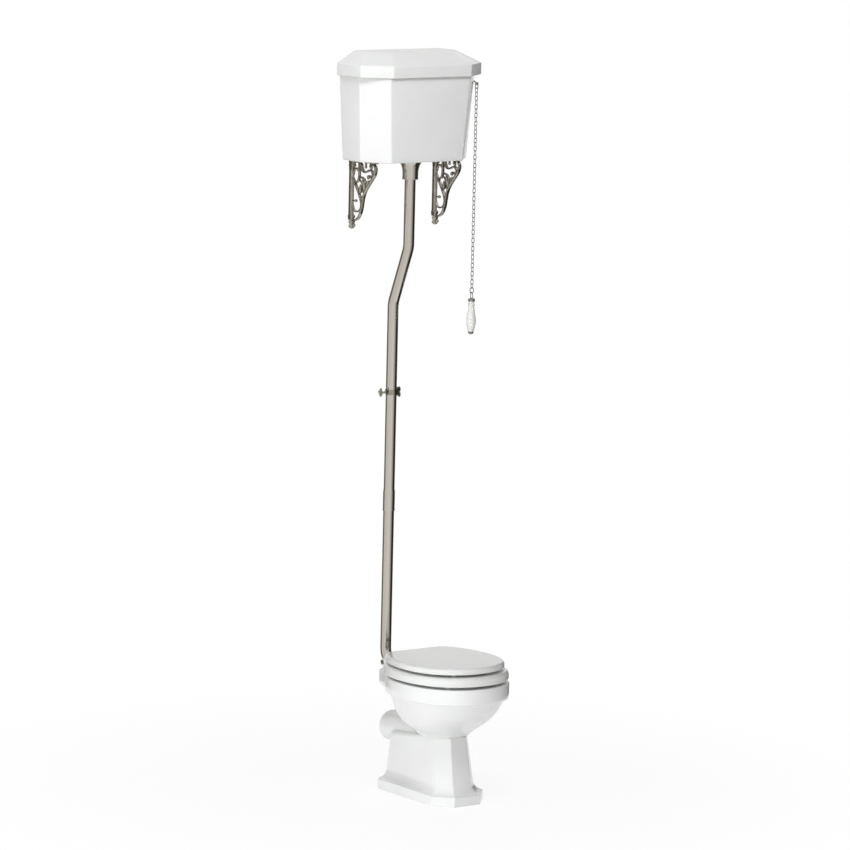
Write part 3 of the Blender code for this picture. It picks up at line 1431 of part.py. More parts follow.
def make_handle():
    y = out(upper_depth)
    ring_centre = chain_bottom - ring_half_length + chain_wire * 1.75 + seat_gap
    ring = tube("handle_ring", link_points(ring_half_width, ring_half_length, 10), chain_wire * 1.2, 6, cyclic=True)
    ring.transform(Matrix.Translation((chain_x, y, ring_centre)))
    place("handle_ring", ring, nickel(), (chain_x, y, ring_centre))
    cap_low = handle_top - handle_cap_height
    eye_high = ring_centre - ring_half_length
    cap = turned("handle_cap", [
        (0, handle_top + finial_radius * 0.4), (handle_cap_radius * 0.4, handle_top + finial_radius * 0.2),
        (handle_cap_radius * 0.55, handle_top), (handle_cap_radius, handle_top - handle_cap_height * 0.25),
        (handle_cap_radius, cap_low), (0, cap_low)], 12)
    cap.transform(Matrix.Translation((chain_x, y, 0)))
    top = place("handle_cap", cap, nickel(), (chain_x, y, handle_top))
    eye = tube("cap_eye", link_points(handle_eye_radius, (eye_high - handle_top) / 2 + chain_wire * 2.8, 8),
               chain_wire * 1.2, 6, cyclic=True)
    eye.transform(Matrix.Rotation(math.radians(90), 4, "Z"))
    eye.transform(Matrix.Translation((chain_x, y, (eye_high + handle_top) / 2)))
    join(top, eye)
    low = handle_bottom + finial_height
    length = cap_low - seat_gap - low
    profile = [(0, cap_low - seat_gap)]
    # Shares of the handle's length down from its cap, and of its largest radius
    for down, wide in ((0.0, 0.62), (0.06, 0.66), (0.09, 0.5), (0.13, 0.64), (0.18, 0.46), (0.3, 0.49),
                       (0.45, 0.66), (0.56, 0.88), (0.66, 1.0), (0.77, 0.95), (0.88, 0.74), (1.0, 0.4)):
        profile.append((handle_radius * wide, cap_low - seat_gap - length * down))
    profile.append((0, low))
    body = turned("pull_handle", profile, 12)
    body.transform(Matrix.Translation((chain_x, y, 0)))
    place("pull_handle", body, ceramic(), (chain_x, y, handle_top))
    finial = turned("handle_finial", [
        (0, low - seat_gap), (finial_radius, low - seat_gap), (finial_radius, low - finial_height * 0.3),
        (finial_radius * 0.6, low - finial_height * 0.45), (finial_radius * 0.7, low - finial_height * 0.75),
        (0, handle_bottom)], 10)
    finial.transform(Matrix.Translation((chain_x, y, 0)))
    place("handle_finial", finial, nickel(), (chain_x, y, handle_bottom))


# Float valve


def make_valve():
    y = out(valve_depth)
    wall_in = tank_half_width(valve_height) - tank_wall
    wall_out = tank_half_width(valve_height)
    end = wall_out + inlet_reach
    inner = wall_in - seat_gap * 3
    body = place("float_valve", rod("shank", (inner - valve_body_length * 0.5, y, valve_height),
                                    (end, y, valve_height), inlet_radius, 12), brass())
    join(body, rod("valve_body", (inner - valve_body_length, y, valve_height),
                   (inner - valve_body_length * 0.3, y, valve_height), valve_body_radius, 12))
    join(body, rod("valve_flange", (inner - inlet_nut_height * 0.6, y, valve_height), (inner, y, valve_height),
                   inlet_nut_radius, 12))
    pivot = float_pivot()
    ear = valve_body_radius * 0.45
    join(body, block("valve_ear", (pivot[0] - ear, y - ear, pivot[2] - ear * 0.7),
                     (pivot[0] + ear, y + ear, valve_height)))
    cut(body, block("ear_slot", (pivot[0] - ear * 2, y - ear * 0.5, pivot[2] - ear * 2),
                    (pivot[0] + ear * 2, y + ear * 0.5, pivot[2] + ear * 0.9)))
    cut(body, rod("ear_bore", (pivot[0], y - ear * 2, pivot[2]), (pivot[0], y + ear * 2, pivot[2]),
                  float_pin_radius + seat_gap, 10))
    cut(body, rod("inlet_bore", (inner - valve_body_length * 0.6, y, valve_height), (end + overrun, y, valve_height),
                  inlet_bore, 10))
    reach = tank_half_width(valve_height + inlet_nut_radius) + seat_gap
    hex_nut("inlet_nut", (reach, y, valve_height), (reach + inlet_nut_height, y, valve_height), inlet_nut_radius,
            inlet_radius)
    pin = rod("float_pin", (pivot[0], y - ear * 1.2, pivot[2]), (pivot[0], y + ear * 1.2, pivot[2]),
              float_pin_radius, 10)
    place("float_pin", pin, brass())


def float_pivot():
    wall_in = tank_half_width(valve_height) - tank_wall
    return (wall_in - valve_body_length * 0.8, out(valve_depth), valve_height - float_pivot_drop)


def make_float():
    pivot = Vector(float_pivot())
    ear = valve_body_radius * 0.45
    along = Vector((-math.cos(float_arm_droop), 0, -math.sin(float_arm_droop)))
    tip = pivot + along * float_arm_length
    arm = place("float_arm", rod("float_arm", pivot + along * float_pin_radius * 2, tip, float_rod_radius, 10),
                brass(), pivot)
    join(arm, rod("arm_boss", pivot - Vector((0, ear * 0.42, 0)), pivot + Vector((0, ear * 0.42, 0)),
                  float_pin_radius * 2.2, 10))
    cut(arm, rod("arm_bore", pivot - Vector((0, ear * 2, 0)), pivot + Vector((0, ear * 2, 0)),
                 float_pin_radius + seat_gap, 10))
    centre = tip + along * (float_radius + seat_gap)
    place("float_ball", ball("float_ball", centre, float_radius, 14, 8), plastic(), pivot)


make_pan()
number = 0
for screw_side in (-1, 1):
    for screw_depth in floor_screw_depths:
        number += 1
        floor_screw(f"floor_screw_{number}", screw_side * floor_screw_x, screw_depth)
make_seat_ring()
make_seat_lid()
make_hinge()
make_buffers()
make_pipes()
make_coupling()
make_cone()
make_shroud()
make_clip()
make_tank()
tank_screw("tank_screw_left", -bracket_x)
tank_screw("tank_screw_right", bracket_x)
make_cover()
make_bracket()
make_siphon()
make_lift()
make_lever()
make_fulcrum()
make_chain()
make_handle()
make_valve()
make_float()
bpy.context.view_layer.update()
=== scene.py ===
import math

import bpy
import numpy as np
from mathutils import Matrix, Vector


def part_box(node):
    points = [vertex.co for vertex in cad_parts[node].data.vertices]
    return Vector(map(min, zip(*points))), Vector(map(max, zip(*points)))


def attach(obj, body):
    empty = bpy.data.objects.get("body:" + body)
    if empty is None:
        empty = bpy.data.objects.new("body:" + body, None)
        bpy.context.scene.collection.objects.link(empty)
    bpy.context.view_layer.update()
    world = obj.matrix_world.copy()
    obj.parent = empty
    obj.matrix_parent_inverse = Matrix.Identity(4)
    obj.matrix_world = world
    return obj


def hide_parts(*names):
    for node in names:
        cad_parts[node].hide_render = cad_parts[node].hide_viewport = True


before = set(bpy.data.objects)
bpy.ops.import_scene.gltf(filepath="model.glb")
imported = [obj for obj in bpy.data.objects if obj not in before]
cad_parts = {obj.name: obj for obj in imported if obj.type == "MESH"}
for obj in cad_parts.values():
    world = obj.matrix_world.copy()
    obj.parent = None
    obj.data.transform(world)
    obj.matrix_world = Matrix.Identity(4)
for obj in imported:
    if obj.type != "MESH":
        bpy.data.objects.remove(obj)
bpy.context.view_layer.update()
print("frame loaded:", len(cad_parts), "CAD nodes")

# Sizes below are in millimetres. A point is (x, depth, z): x to the right, depth out from the
# wall and z up. toWorld turns it into the frame's metres, where the wall stands at y = 0.140.
wallPlane = 140.0
full = 2 * math.pi


def toWorld(points):
    # Metres in the frame: x and z stay, y is the wall's place less the depth
    return np.stack([points[..., 0], wallPlane - points[..., 1], points[..., 2]], -1) / 1000


# ---- camera, fitted to the photograph's straight edges

cameraSet = {"place": (-9.6479, -13.7336, 3.7085), "azimuth": -35.26, "elevation": 8.30, "roll": 1.30,
             "lens": 209.66, "sensor": 36.0}


def standAt(made, right, up, back, place):
    # Turns an object so that its own axes lie along right, up and back
    matrix = np.eye(4)
    matrix[:3] = np.stack([right, up, back, place], -1)
    made.matrix_world = Matrix(matrix.tolist())


def inScene(name, data):
    # A new object over its data, linked into the scene
    made = bpy.data.objects.new(name, data)
    bpy.context.scene.collection.objects.link(made)
    return made


def makeCamera(s):
    # Azimuth and elevation give the way back from the view, roll turns right and up about it
    data = bpy.data.cameras.new("viewCamera")
    data.sensor_width, data.lens, data.clip_end = s["sensor"], s["lens"], 100
    camera = inScene("viewCamera", data)
    a, e, r = (math.radians(s[key]) for key in ("azimuth", "elevation", "roll"))
    back = np.array((math.sin(a) * math.cos(e), -math.cos(a) * math.cos(e), math.sin(e)))
    right = np.array((math.cos(a), math.sin(a), 0))
    up = np.cross(back, right)
    standAt(camera, right * math.cos(r) + up * math.sin(r), up * math.cos(r) - right * math.sin(r), back, s["place"])
    bpy.context.scene.camera = camera


makeCamera(cameraSet)
bpy.context.scene.view_settings.view_transform = "Standard"


# ---- materials: every pattern reads Object coordinates

def addNode(tree, kind, **inputs):
    # A node whose inputs take numbers, or the outputs of other nodes
    node = tree.nodes.new(kind)
    for key, value in inputs.items():
        socket = node.inputs[key.replace("_", " ")]
        if isinstance(value, bpy.types.NodeSocket):
            tree.links.new(value, socket)
        else:
            socket.default_value = value
    return node


def stretched(tree, scale):
    # Object coordinates, stretched by a scale for each axis
    place = tree.nodes.new("ShaderNodeTexCoord").outputs["Object"]
    return addNode(tree, "ShaderNodeMapping", Vector=place, Scale=scale).outputs["Vector"]


def noise(tree, vector, scale, detail=2.0, rough=0.5):
    # Smooth noise from 0 to 1 over a vector
    return addNode(tree, "ShaderNodeTexNoise", Vector=vector, Scale=scale, Detail=detail,
                   Roughness=rough).outputs["Fac"]


def ranged(tree, value, low, high, start=0.3, end=0.7):
    # A value from start to end becomes one from low to high
    return addNode(tree, "ShaderNodeMapRange", Value=value, From_Min=start, From_Max=end, To_Min=low,
                   To_Max=high).outputs["Result"]


def twoColours(tree, value, first, second):
    # first x (1 - value) + second x value
    node = tree.nodes.new("ShaderNodeMix")
    node.data_type = "RGBA"
    node.inputs["A"].default_value = (*first, 1)
    node.inputs["B"].default_value = (*second, 1)
    tree.links.new(value, node.inputs["Factor"])
    return node.outputs["Result"]


def bump(tree, value, strength, distance, **below):
    # Surface tilted by a height, on top of another bump where one is given
    return addNode(tree, "ShaderNodeBump", Height=value, Strength=strength, Distance=distance,
                   **below).outputs["Normal"]


def newFinish(name, colours, roughness, broad, fine, stretch=(1, 1, 1), drift=6.0, **shading):
    # Two tints that drift into each other, a drifting roughness and two sizes of bump
    made = bpy.data.materials.new(name)
    made.use_nodes = True
    tree = made.node_tree
    shader = tree.nodes["Principled BSDF"]
    vector = stretched(tree, stretch)
    tint = twoColours(tree, ranged(tree, noise(tree, vector, drift, 3.0), 0, 1), *colours)
    tree.links.new(tint, shader.inputs["Base Color"])
    patch = noise(tree, vector, 30.0, 4.0, 0.6)
    tree.links.new(ranged(tree, patch, *roughness), shader.inputs["Roughness"])
    swell = bump(tree, noise(tree, vector, broad[0], 1.5), broad[1], 0.002)
    grain = bump(tree, noise(tree, vector, fine[0], 3.0, 0.6), fine[1], 0.0003, Normal=swell)
    tree.links.new(grain, shader.inputs["Normal"])
    for key, value in shading.items():
        shader.inputs[key.replace("_", " ")].default_value = value
    return made


# Material slot, name, two tints, range of roughness, scale and strength of the broad bump and of
# the fine one, then what differs from the plain settings
finishRows = {
    "glaze": ("white_glaze", "whiteGlaze", ((0.83, 0.84, 0.835), (0.80, 0.81, 0.80)), (0.05, 0.10),
              (14.0, 0.04), (160.0, 0.012), {"Coat_Weight": 0.35, "Coat_Roughness": 0.03, "IOR": 1.52}),
    "porcelain": ("white_glaze", "handlePorcelain", ((0.80, 0.80, 0.775), (0.75, 0.75, 0.72)), (0.16, 0.22),
                  (24.0, 0.02), (160.0, 0.006), {"Coat_Weight": 0.25, "Coat_Roughness": 0.10}),
    "lacquer": ("white_lacquer", "seatLacquer", ((0.79, 0.80, 0.79), (0.75, 0.76, 0.75)), (0.13, 0.22),
                (26.0, 0.04), (420.0, 0.05), {"stretch": (1, 0.35, 1), "Coat_Weight": 0.5, "Coat_Roughness": 0.08}),
    "nickel": ("polished_nickel", "polishedNickel", ((0.60, 0.565, 0.52), (0.54, 0.505, 0.46)), (0.08, 0.15),
               (20.0, 0.03), (700.0, 0.05), {"stretch": (1, 1, 0.3), "Metallic": 1.0}),
    # castNickel is a darker copy of the polished nickel in the same slot. Its dark tints paint shade and dark
    # reflections into the brackets, the clip and the screw heads; its rougher, bumpier grain is the cast metal's own.
    "castNickel": ("polished_nickel", "castNickel", ((0.46, 0.43, 0.385), (0.30, 0.28, 0.24)), (0.10, 0.22),
                   (160.0, 0.16), (900.0, 0.15), {"drift": 40.0, "Metallic": 1.0}),
    # chainNickel is another darker copy of the polished nickel in the same slot. Its dark tints paint shade and dark
    # reflections into the chain, its hook, ring, cap and tip, and the hinge rod; its rougher finish is the metal's own.
    "chainNickel": ("polished_nickel", "chainNickel", ((0.36, 0.352, 0.338), (0.25, 0.243, 0.232)), (0.18, 0.30),
                    (200.0, 0.05), (900.0, 0.08), {"drift": 60.0, "Metallic": 1.0}),
    "brass": ("cast_brass", "turnedBrass", ((0.66, 0.48, 0.22), (0.54, 0.38, 0.17)), (0.24, 0.42),
              (120.0, 0.08), (900.0, 0.1), {"drift": 30.0, "Metallic": 1.0}),
    "rubber": ("black_rubber", "blackRubber", ((0.028, 0.028, 0.03), (0.05, 0.05, 0.052)), (0.55, 0.75),
               (90.0, 0.1), (800.0, 0.25), {}),
    "buffer": ("pale_buffer", "paleBuffer", ((0.62, 0.62, 0.58), (0.55, 0.55, 0.51)), (0.4, 0.55),
               (90.0, 0.05), (700.0, 0.1), {}),
    "plastic": ("valve_plastic", "valvePlastic", ((0.74, 0.73, 0.68), (0.68, 0.67, 0.61)), (0.32, 0.46),
                (70.0, 0.05), (600.0, 0.12), {}),
}
finishes = {key: newFinish(*row[1:-1], **row[-1]) for key, row in finishRows.items()}
print("finishes made:", len(finishes))


# ---- surfaces

def gridShell(points, wrapRows=False, caps="fan"):
    # Surface over a grid of rows and columns. Rows that have shrunk to a point become the tip of
    # a fan; other open ends are closed by a fan to their middle or by one flat face.
    points = np.asarray(points, float)
    tips = [None, None]
    if not wrapRows:
        for end, row in ((0, 0), (1, -1)):
            if np.ptp(points[row], axis=0).max() < 1e-6:
                tips[end] = points[row, 0]
        points = points[tips[0] is not None:len(points) - (tips[1] is not None)]
    rows, cols = points.shape[:2]
    r = np.arange(rows if wrapRows else rows - 1)[:, None]
    c = np.arange(cols)[None]
    nextR, nextC = (r + 1) % rows, (c + 1) % cols
    quads = np.stack([r * cols + c, r * cols + nextC, nextR * cols + nextC, nextR * cols + c], -1).reshape(-1, 4)
    verts = points.reshape(-1, 3)
    faces = [quads]
    if not wrapRows:
        ring = np.arange(cols)
        for end, first in ((0, 0), (1, (rows - 1) * cols)):
            loop = first + ring if end else first + ring[::-1]
            if caps == "flat" and tips[end] is None:
                faces.append(loop[None])
                continue
            tip = tips[end] if tips[end] is not None else points[-end].mean(0)
            verts = np.vstack([verts, tip])
            faces.append(np.stack([loop, np.roll(loop, -1), np.full(cols, len(verts) - 1)], -1))
    return verts, faces


def volumeOf(verts, faces):
    # Signed volume: the sum over fans of triangles of a . (b x c) / 6
    total = 0.0
    for face in faces:
        for i in range(1, face.shape[1] - 1):
            a, b, c = verts[face[:, 0]], verts[face[:, i]], verts[face[:, i + 1]]
            total += np.einsum("ij,ij->", a, np.cross(b, c)) / 6
    return total


def makePiece(name, shells, finish, body, stands=(), sharp=38):
    # One object from closed shells, each turned so that its faces point outwards
    allVerts, allFaces, start = [], [], 0
    for verts, faces in shells:
        verts = toWorld(verts)
        if volumeOf(verts - verts.mean(0), faces) < 0:
            faces = [face[:, ::-1] for face in faces]
        allVerts.append(verts)
        allFaces += [face + start for face in faces]
        start += len(verts)
    verts = np.vstack(allVerts)
    counts = np.concatenate([np.full(len(face), face.shape[1]) for face in allFaces])
    loops = np.concatenate([face.ravel() for face in allFaces])
    mesh = bpy.data.meshes.new(name)
    mesh.vertices.add(len(verts))
    mesh.vertices.foreach_set("co", verts.astype(np.float32).ravel())
    mesh.loops.add(len(loops))
    mesh.loops.foreach_set("vertex_index", loops.astype(np.int32))
    mesh.polygons.add(len(counts))
    mesh.polygons.foreach_set("loop_start", np.concatenate([[0], np.cumsum(counts)[:-1]]).astype(np.int32))
    mesh.update(calc_edges=True)
    mesh.shade_smooth()
    mesh.set_sharp_from_angle(angle=math.radians(sharp))
    mesh.materials.append(finishes[finish])
    made = inScene(name, mesh)
    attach(made, body)
    if stands:
        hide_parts(*stands)
    return made


def carve(made, shells):
    # Cuts closed shells out of a piece at once, so that no cutter is left in the scene
    for verts, faces in shells:
        cutter = bpy.data.meshes.new("carving")
        cutter.from_pydata(toWorld(verts).tolist(), [], [f.tolist() for face in faces for f in face])
        if volumeOf(toWorld(verts), faces) < 0:
            cutter.flip_normals()
        tool = inScene("carving", cutter)
        step = made.modifiers.new("carving", "BOOLEAN")
        step.operation, step.solver, step.object = "DIFFERENCE", "EXACT", tool
        bpy.context.view_layer.update()
        seen = made.evaluated_get(bpy.context.evaluated_depsgraph_get())
        result = bpy.data.meshes.new_from_object(seen)
        made.modifiers.remove(step)
        old, made.data = made.data, result
        bpy.data.meshes.remove(old)
        bpy.data.objects.remove(tool, do_unlink=True)
        bpy.data.meshes.remove(cutter)
    made.data.shade_smooth()
    made.data.set_sharp_from_angle(angle=math.radians(38))
    return made


def spline(points, count):
    # Catmull-Rom curve through the points, any number of coordinates each
    p = np.asarray(points, float)
    spans = len(p) - 1
    ring = np.concatenate([[2 * p[0] - p[1]], p, [2 * p[-1] - p[-2]]])
    t = np.linspace(0, spans, count)
    i = np.minimum(t.astype(int), spans - 1)
    u = (t - i)[:, None]
    a, b, c, d = (ring[i + k] for k in range(4))
    return 0.5 * (2 * b + (c - a) * u + (2 * a - 5 * b + 4 * c - d) * u ** 2 + (3 * b - a - 3 * c + d) * u ** 3)


def rounded(corners, radii, steps=6):
    # Closed outline whose corners are exact arcs: a rational quadratic curve at each corner
    p = np.asarray(corners, float)
    r = np.broadcast_to(np.asarray(radii, float), len(p))
    u, v = np.roll(p, 1, 0) - p, np.roll(p, -1, 0) - p
    lu, lv = np.linalg.norm(u, axis=1), np.linalg.norm(v, axis=1)
    u, v = u / lu[:, None], v / lv[:, None]
    half = np.arccos(np.clip((u * v).sum(1), -1, 1)) / 2
    t = np.minimum(r / np.tan(half), 0.49 * np.minimum(lu, lv))
    w = np.sin(half)[:, None, None]
    s = np.linspace(0, 1, steps)[None, :, None]
    a, b = (p + u * t[:, None])[:, None], (p + v * t[:, None])[:, None]
    top = (1 - s) ** 2 * a + 2 * s * (1 - s) * w * p[:, None] + s ** 2 * b
    return (top / ((1 - s) ** 2 + 2 * s * (1 - s) * w + s ** 2)).reshape(-1, 2)


def inward(outline, distance):
    # Outline moved inwards: each point goes along the mean of its two edges' normals
    edge = np.roll(outline, -1, 0) - outline
    edge = edge / np.maximum(np.linalg.norm(edge, axis=1), 1e-9)[:, None]
    x, y = outline[:, 0], outline[:, 1]
    turn = np.sign((x * np.roll(y, -1) - np.roll(x, -1) * y).sum())
    normal = turn * np.stack([-edge[:, 1], edge[:, 0]], -1)
    before = np.roll(normal, 1, 0)
    both = (normal + before) / np.maximum(1 + (normal * before).sum(1), 0.3)[:, None]
    return outline + both * distance


def smoothStep(t):
    # From 0 to 1 without a kink: 3 t^2 - 2 t^3
    return t * t * (3 - 2 * t)


def quarter(steps):
    # Quarter circle from (1, 0) to (0, 1): inset and rise of a rounded edge
    t = np.linspace(0, math.pi / 2, steps)
    return 1 - np.sin(t), 1 - np.cos(t)


def edgeRows(low, high, roundLow, roundHigh, steps=5):
    # (inset, height) rows of a plate's side with both edges rounded: inset = radius x (1 - sin t),
    # rise = radius x (1 - cos t)
    inset, rise = quarter(steps)
    rows = np.stack([inset * roundLow, low + rise * roundLow], -1)
    cap = np.stack([inset[::-1] * roundHigh, high - rise[::-1] * roundHigh], -1)
    return np.vstack([rows, cap])


def inPlane(outline, height, plane):
    # Outline of two coordinates at a third: plan (x, depth), side (depth, z) or front (x, z)
    a, b = outline[..., 0], outline[..., 1]
    c = np.broadcast_to(height, a.shape)
    return np.stack({"plan": (a, b, c), "side": (c, a, b), "front": (a, c, b)}[plane], -1)


def plate(outline, low, high, roundLow=1.0, roundHigh=None, plane="plan", steps=5):
    # Plate of any outline with rounded edges
    rows = edgeRows(low, high, roundLow, roundLow if roundHigh is None else roundHigh, steps)
    return gridShell(np.stack([inPlane(inward(outline, i), h, plane) for i, h in rows]), caps="flat")


def lathe(profile, centre, axis="z", steps=48, closed=False, lobes=0, depth=0.0):
    # Profile (radius, height) turned round an axis through centre; lobes flute the radius
    profile = np.asarray(profile, float)
    t = np.arange(steps) * full / steps
    r = profile[:, :1] * (1 + depth * np.cos(lobes * t)[None])
    a, b, h = r * np.cos(t), r * np.sin(t), np.broadcast_to(profile[:, 1:2], r.shape)
    points = np.stack({"z": (a, b, h), "x": (h, a, b), "depth": (a, h, b)}[axis], -1)
    return gridShell(points + np.asarray(centre, float), wrapRows=closed)


def eyeShell(centre, axis, radius, low, high, edge, bore, steps=4, count=40):
    # Disc with rounded edges, turned round its bore
    rows = edgeRows(low, high, edge, edge, steps) * (-1, 1) + (radius, 0)
    return lathe(np.vstack([rows, bore]), centre, axis, count, closed=True)


def ringSection(width, height, count=12, power=2.0):
    # Round, oval or nearly square cross-section: a superellipse
    t = np.arange(count) * full / count
    c, s = np.cos(t), np.sin(t)
    return np.stack([k * np.sign(v) * np.abs(v) ** (2 / power) for k, v in ((width, c), (height, s))], -1)


def along(path, plane, centre, section, scale=1.0, closed=False):
    # Section carried along a path that lies in one plane, its first axis across the path and swollen
    # by the scale
    path = np.asarray(path, float)
    ahead = np.roll(path, -1, 0) - np.roll(path, 1, 0) if closed else np.gradient(path, axis=0)
    ahead = ahead / np.linalg.norm(ahead, axis=1)[:, None]
    normal = np.stack([-ahead[:, 1], ahead[:, 0]], -1)
    wide = np.broadcast_to(scale, len(path))
    flat = path[:, None] + normal[:, None] * (section[None, :, :1] * wide[:, None, None])
    return gridShell(inPlane(flat, centre + section[None, :, 1], plane), wrapRows=closed)


def pipeWall(path, plane, centre, outer, inner, steps=32):
    # Open-ended pipe: out along its outside and back along its bore, as one closed skin
    path = np.asarray(path, float)
    ahead = np.gradient(path, axis=0)
    ahead = ahead / np.linalg.norm(ahead, axis=1)[:, None]
    normal = np.stack([-ahead[:, 1], ahead[:, 0]], -1)
    t = np.arange(steps) * full / steps
    skins = []
    for radius in (np.broadcast_to(outer, len(path)), np.broadcast_to(inner, len(path))):
        flat = path[:, None] + normal[:, None] * (np.cos(t)[None, :, None] * radius[:, None, None])
        skins.append(inPlane(flat, centre + np.sin(t)[None] * radius[:, None], plane))
    return gridShell(np.concatenate([skins[0], skins[1][::-1]]), wrapRows=True)


def around(centre, radius, angle):
    # centre + radius x (cos angle, sin angle)
    return np.stack([centre[0] + radius * np.cos(angle), centre[1] + radius * np.sin(angle)], -1)


def arc(centre, radius, start, end, count=24):
    # Points round a centre from one angle to another, in degrees
    return around(centre, radius, np.radians(np.linspace(start, end, count)))


def straight(start, end, count=8):
    # Evenly spaced points up to the end, without it
    return np.linspace(start, end, count, endpoint=False)


def ballAt(centre, radius, steps=20):
    # Sphere, as a half circle turned round the vertical
    t = np.linspace(0, math.pi, steps)
    return lathe(radius * np.stack([np.sin(t), np.cos(t)], -1), centre, "z", steps + 4)


def boxShell(low, high):
    # Plain block between two corners
    outline = np.array([(low[0], low[1]), (high[0], low[1]), (high[0], high[1]), (low[0], high[1])], float)
    return gridShell(np.stack([inPlane(outline, z, "plan") for z in (low[2], high[2])]), caps="flat")


def cadSpan(name):
    # Low and high corner of a CAD node, and its middle as (x, depth, z), in millimetres
    low, high = (np.array(v) * 1000 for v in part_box(name))
    middle = (low + high) / 2
    return low, high, (middle[0], wallPlane - middle[1], middle[2])


# ---- pan

pan = {"rimTop": 420, "rimLow": 367, "half": 195, "front": 618, "back": 169, "centre": 390, "power": 2.2,
       "floor": 205, "wall": 13, "mouth": 56, "lipDrop": 42, "lipWall": 8, "channelTop": 408,
       "throat": (38.0, 390.0, 314.0, 190.0), "horn": 402.0, "points": 144}

# Rise from the bowl floor to the rim, then half width, reach to the front and reach to the back,
# as shares of the rim's own
bowlShares = np.array([(-0.03, 0.27, 0.18, 0.54), (0.0, 0.29, 0.205, 0.56), (0.035, 0.32, 0.24, 0.59),
                       (0.105, 0.39, 0.30, 0.64), (0.216, 0.508, 0.372, 0.71), (0.333, 0.64, 0.49, 0.774),
                       (0.5, 0.759, 0.662, 0.828), (0.679, 0.841, 0.798, 0.86), (0.895, 0.903, 0.912, 0.905),
                       (1.0, 0.955, 0.955, 0.95)])
# The same for the inside, before the wall's thickness comes off
hollowShares = np.array([(0.10, 0.35, 0.21, 0.60), (0.216, 0.497, 0.342, 0.697), (0.333, 0.636, 0.487, 0.774),
                         (0.5, 0.759, 0.662, 0.828), (0.679, 0.841, 0.798, 0.86), (0.895, 0.903, 0.912, 0.905),
                         (1.0, 0.955, 0.955, 0.95)])


def ovalRows(rows, centre=None, power=None, count=None):
    # Plan outlines from rows of (half width, front depth, back depth, z): |x/a|^p + |y/b|^p = 1,
    # with one b towards the front and another towards the wall
    rows = np.asarray(rows, float)
    count = count or pan["points"]
    p = np.broadcast_to(power if power is not None else pan["power"], len(rows))[:, None]
    c = np.broadcast_to(centre if centre is not None else pan["centre"], len(rows))[:, None]
    t = ((np.arange(count) + 0.5) * full / count)[None]
    x = rows[:, :1] * np.sign(np.cos(t)) * np.abs(np.cos(t)) ** (2 / p)
    reach = np.where(np.sin(t) > 0, rows[:, 1:2] - c, c - rows[:, 2:3])
    depth = c + reach * np.sign(np.sin(t)) * np.abs(np.sin(t)) ** (2 / p)
    return np.stack([x, depth, np.broadcast_to(rows[:, 3:4], x.shape)], -1)


def rimRow(inset, z):
    # Rows of the rim's oval, moved inwards by an inset
    return np.stack([pan["half"] - inset, pan["front"] - inset, pan["back"] + inset, z], -1)


def bowlRows(shares, inset=0.0):
    # Rows of the bowl: each share times the rim's own measure, less the wall
    rise, across, front, back = np.asarray(shares, float).T
    middle = pan["centre"]
    return np.stack([across * pan["half"] - inset, middle + front * (pan["front"] - middle) - inset,
                     middle - back * (middle - pan["back"]) + inset,
                     pan["floor"] + rise * (pan["rimLow"] - pan["floor"])], -1)


def makeBowl():
    # One closed skin: up the outside, over the box rim, round its lip and channel, down the inside
    # and through the throat. Every row is an oval
    outside = bowlRows(spline(bowlShares, 60))
    hollow = spline(hollowShares, 54)
    low, high = pan["rimLow"], pan["rimTop"]
    inset, rise = quarter(7)
    under = rimRow(np.array([7.0, 5.0]), np.array([low + 0.6, low + 0.2]))
    bandLow = rimRow(3.5 * inset, low + 3.5 * rise)
    bandHigh = rimRow(6 * inset[::-1], high - 6 * rise[::-1])
    mouth = pan["mouth"]
    edge = rimRow(mouth - 5 + 5 * np.sin(np.linspace(0, math.pi / 2, 7)), high - 5 * rise)
    lipLow = high - pan["lipDrop"]
    lip = rimRow(mouth - pan["lipWall"] * np.array([0, 0.12, 0.5, 0.88, 1.0]),
                 lipLow + np.array([4, 1.2, 0, 1.2, 4]))
    roof, lipBack = pan["channelTop"], mouth - pan["lipWall"]
    channel = rimRow(np.array([lipBack, lipBack - 4, 24, 20, 19.5]),
                     np.array([roof - 4, roof, roof, roof - 4, low + 8]))
    inside = bowlRows(hollow[(hollow[:, 0] > 0.12) & (hollow[:, 0] < 0.98)][::-1], pan["wall"])
    solid = np.vstack([outside, under, bandLow, bandHigh, edge, lip, channel, inside])
    centres = np.full(len(solid), float(pan["centre"]))
    powers = np.full(len(solid), pan["power"])
    # The throat: outlines that turn from the bowl's oval to the round of the trap
    t = np.linspace(0, 1, 9)[1:, None]
    last = inside[-1]
    throat = np.array(pan["throat"])
    sink = last * (1 - t) + throat * t
    sink[:, 3] = last[3] + (throat[3] - last[3]) * t[:, 0] ** 1.4
    outerFoot = throat + (8, 8, -8, 0)
    rows = np.vstack([solid, sink, outerFoot])
    middle, end = pan["centre"], water["throat"]
    centres = np.concatenate([centres, middle + (end - middle) * t[:, 0], [end]])
    powers = np.concatenate([powers, pan["power"] + (2 - pan["power"]) * t[:, 0], [2.0]])
    return gridShell(ovalRows(rows, centres, powers), wrapRows=True)


# Stem: half width, front and back where the taper's line starts, and how far each has moved at its top
foot = {"half": 109, "front": 525.6, "back": 133, "cut": (56, 61), "backCut": 16, "height": 35, "edge": 5.0,
        "stem": (78, 495, 141), "taper": (-12, -28, 11), "low": 56, "run": 152, "stemLow": 68,
        "ledge": 203.0, "brow": 226.0, "round": 14.0, "turn": (245, 405)}


def footOutline(half, front, back, share, inset=0.0):
    # Octagon with cut front corners and small cut back corners, its corners softened
    cx, cy, b = foot["cut"][0] * share, foot["cut"][1] * share, foot["backCut"] * share
    return inward(rounded(cutCorners(half, front, back, cx, cy, b), foot["edge"], 5), inset)


def cutCorners(half, front, back, cx, cy, b):
    # Rectangle whose front corners are cut by cx and cy and whose back corners are cut by b
    return [(-half, back + b), (-half, front - cy), (cx - half, front), (half - cx, front), (half, front - cy),
            (half, back + b), (half - b, back), (b - half, back)]


